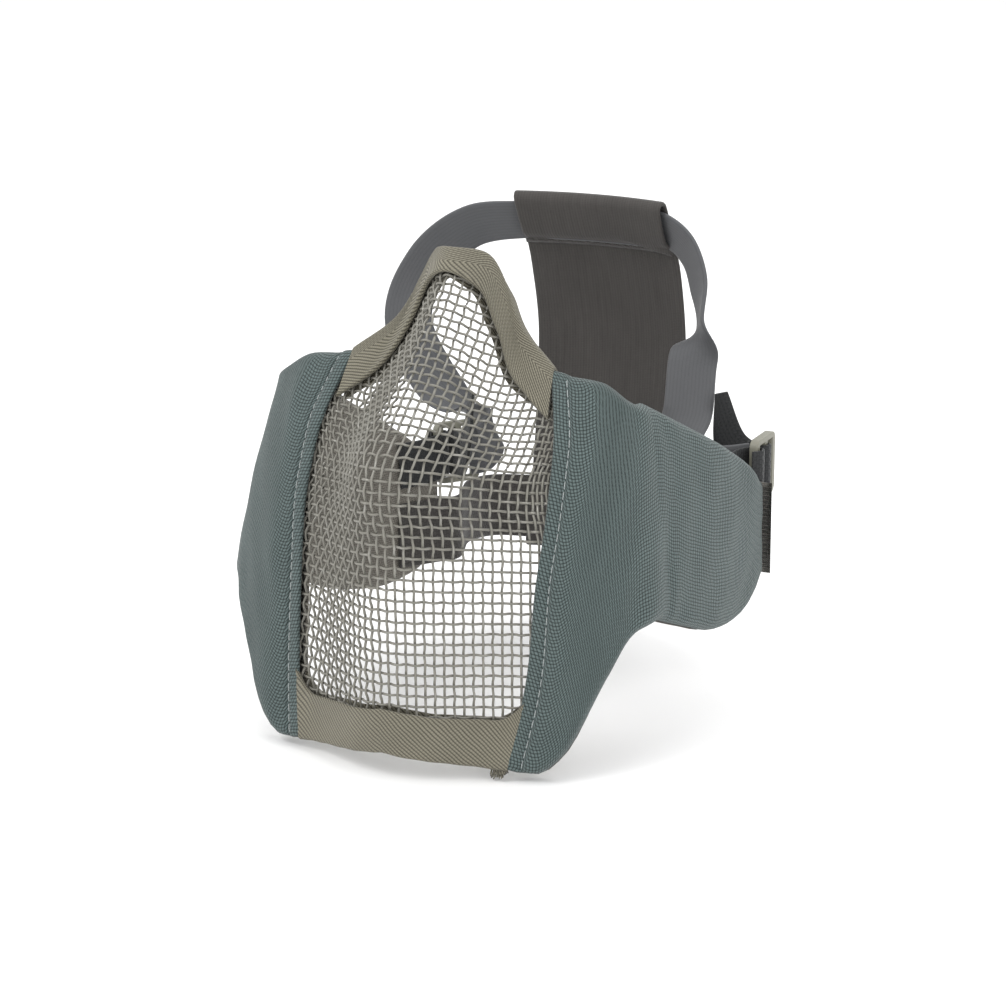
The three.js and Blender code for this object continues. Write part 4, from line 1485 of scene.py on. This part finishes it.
# ---- stage -------------------------------------------------------------------------------------
CAMERA_TURN, CAMERA_RISE = math.radians(24), math.radians(16)
CAMERA_AWAY, CAMERA_LENS, CAMERA_SENSOR = 0.9, 112.7, 36
AIM_ACROSS, AIM_DOWN = 0.01514, 0.001
FLOOR_HALF, FLOOR_LEVEL = 6.0, -0.0695
SKY_STRENGTH = 1.05
LAMPS = (("key", (-0.45, -0.75, 0.85), 0.55, 5.2, (0, 0, 0.0)),
         ("fill", (0.95, -0.55, 0.45), 0.8, 2.4, (0, 0.03, 0)),
         ("top", (0.0, 0.25, 1.1), 0.9, 3.4, (0, 0.05, 0)),
         ("rim", (0.2, 0.95, 0.5), 0.7, 2.0, (0, 0.1, 0.03)))


class MASK_OT_stage(bpy.types.Operator):
    """Set the pale floor, the soft lights and the camera"""
    bl_idname = "mask.stage"
    bl_label = "Stage"

    def execute(self, context):
        across = Vector((math.cos(CAMERA_TURN), math.sin(CAMERA_TURN), 0))
        back = Vector((math.sin(CAMERA_TURN) * math.cos(CAMERA_RISE),
                       -math.cos(CAMERA_TURN) * math.cos(CAMERA_RISE), math.sin(CAMERA_RISE)))
        up = back.cross(across)
        aim = across * AIM_ACROSS - up * AIM_DOWN
        data = bpy.data.cameras.new("camera")
        data.lens, data.sensor_width, data.sensor_fit = CAMERA_LENS, CAMERA_SENSOR, "HORIZONTAL"
        data.clip_start, data.clip_end = 0.05, 20
        camera = linked("camera", data)
        camera.matrix_world = Matrix((across, up, back)).transposed().to_4x4()
        camera.location = aim + back * CAMERA_AWAY
        bpy.context.scene.camera = camera

        ring = [(0, 0), (1, 0), (1, 1), (0, 1)]
        verts = [(mix(-FLOOR_HALF, FLOOR_HALF, x) / MM, mix(-FLOOR_HALF, FLOOR_HALF, y) / MM,
                  FLOOR_LEVEL / MM) for x, y in ring]
        floor = new_object("floor", verts, [[0, 1, 2, 3]], [ring],
                           [floor_finish("studio floor", colours().floor)], smooth=False)

        scene = bpy.context.scene
        world = scene.world = scene.world or bpy.data.worlds.new("studio")
        world.use_nodes = True
        sky = world.node_tree.nodes["Background"]
        sky.inputs["Color"].default_value = (1, 1, 1, 1)
        sky.inputs["Strength"].default_value = SKY_STRENGTH
        for name, spot, size, power, aim_at in LAMPS:
            lamp = bpy.data.lights.new(name, "AREA")
            lamp.shape, lamp.size, lamp.energy = "DISK", size, power
            made = linked(name, lamp)
            made.location = spot
            way = Vector(aim_at) - Vector(spot)
            made.rotation_euler = way.to_track_quat("-Z", "Y").to_euler()
        view = scene.view_settings
        view.view_transform, view.look = "Standard", "None"
        view.exposure, view.gamma = 0.0, 1.0
        return {"FINISHED"}


# ---- add-on ------------------------------------------------------------------------------------
class MASK_PT_panel(bpy.types.Panel):
    """Lists the mask's steps and its sizes and colours"""
    bl_idname = "MASK_PT_panel"
    bl_label = "Half face mask"
    bl_space_type = "VIEW_3D"
    bl_region_type = "UI"
    bl_category = "Face mask"

    def draw(self, context):
        for step in STEPS:
            self.layout.operator(step.bl_idname)
        for group, holder in ((MaskSizes, context.scene.mask_sizes),
                              (MaskColours, context.scene.mask_colours)):
            box = self.layout.box()
            for key in group.__annotations__:
                box.prop(holder, key)


STEPS = (MASK_OT_wires, MASK_OT_tapes, MASK_OT_pads, MASK_OT_stitching, MASK_OT_panel,
         MASK_OT_straps, MASK_OT_sliders, MASK_OT_stage)
CLASSES = (MaskSizes, MaskColours, *STEPS, MASK_PT_panel)


def register():
    for cls in CLASSES:
        bpy.utils.register_class(cls)
    bpy.types.Scene.mask_sizes = bpy.props.PointerProperty(type=MaskSizes)
    bpy.types.Scene.mask_colours = bpy.props.PointerProperty(type=MaskColours)


def unregister():
    del bpy.types.Scene.mask_sizes
    del bpy.types.Scene.mask_colours
    for cls in reversed(CLASSES):
        bpy.utils.unregister_class(cls)


def main():
    """Registers the add-on and runs each step to build the mask."""
    register()
    for step in STEPS:
        family, name = step.bl_idname.split(".")
        getattr(getattr(bpy.ops, family), name)()


if __name__ == "__main__":
    main()
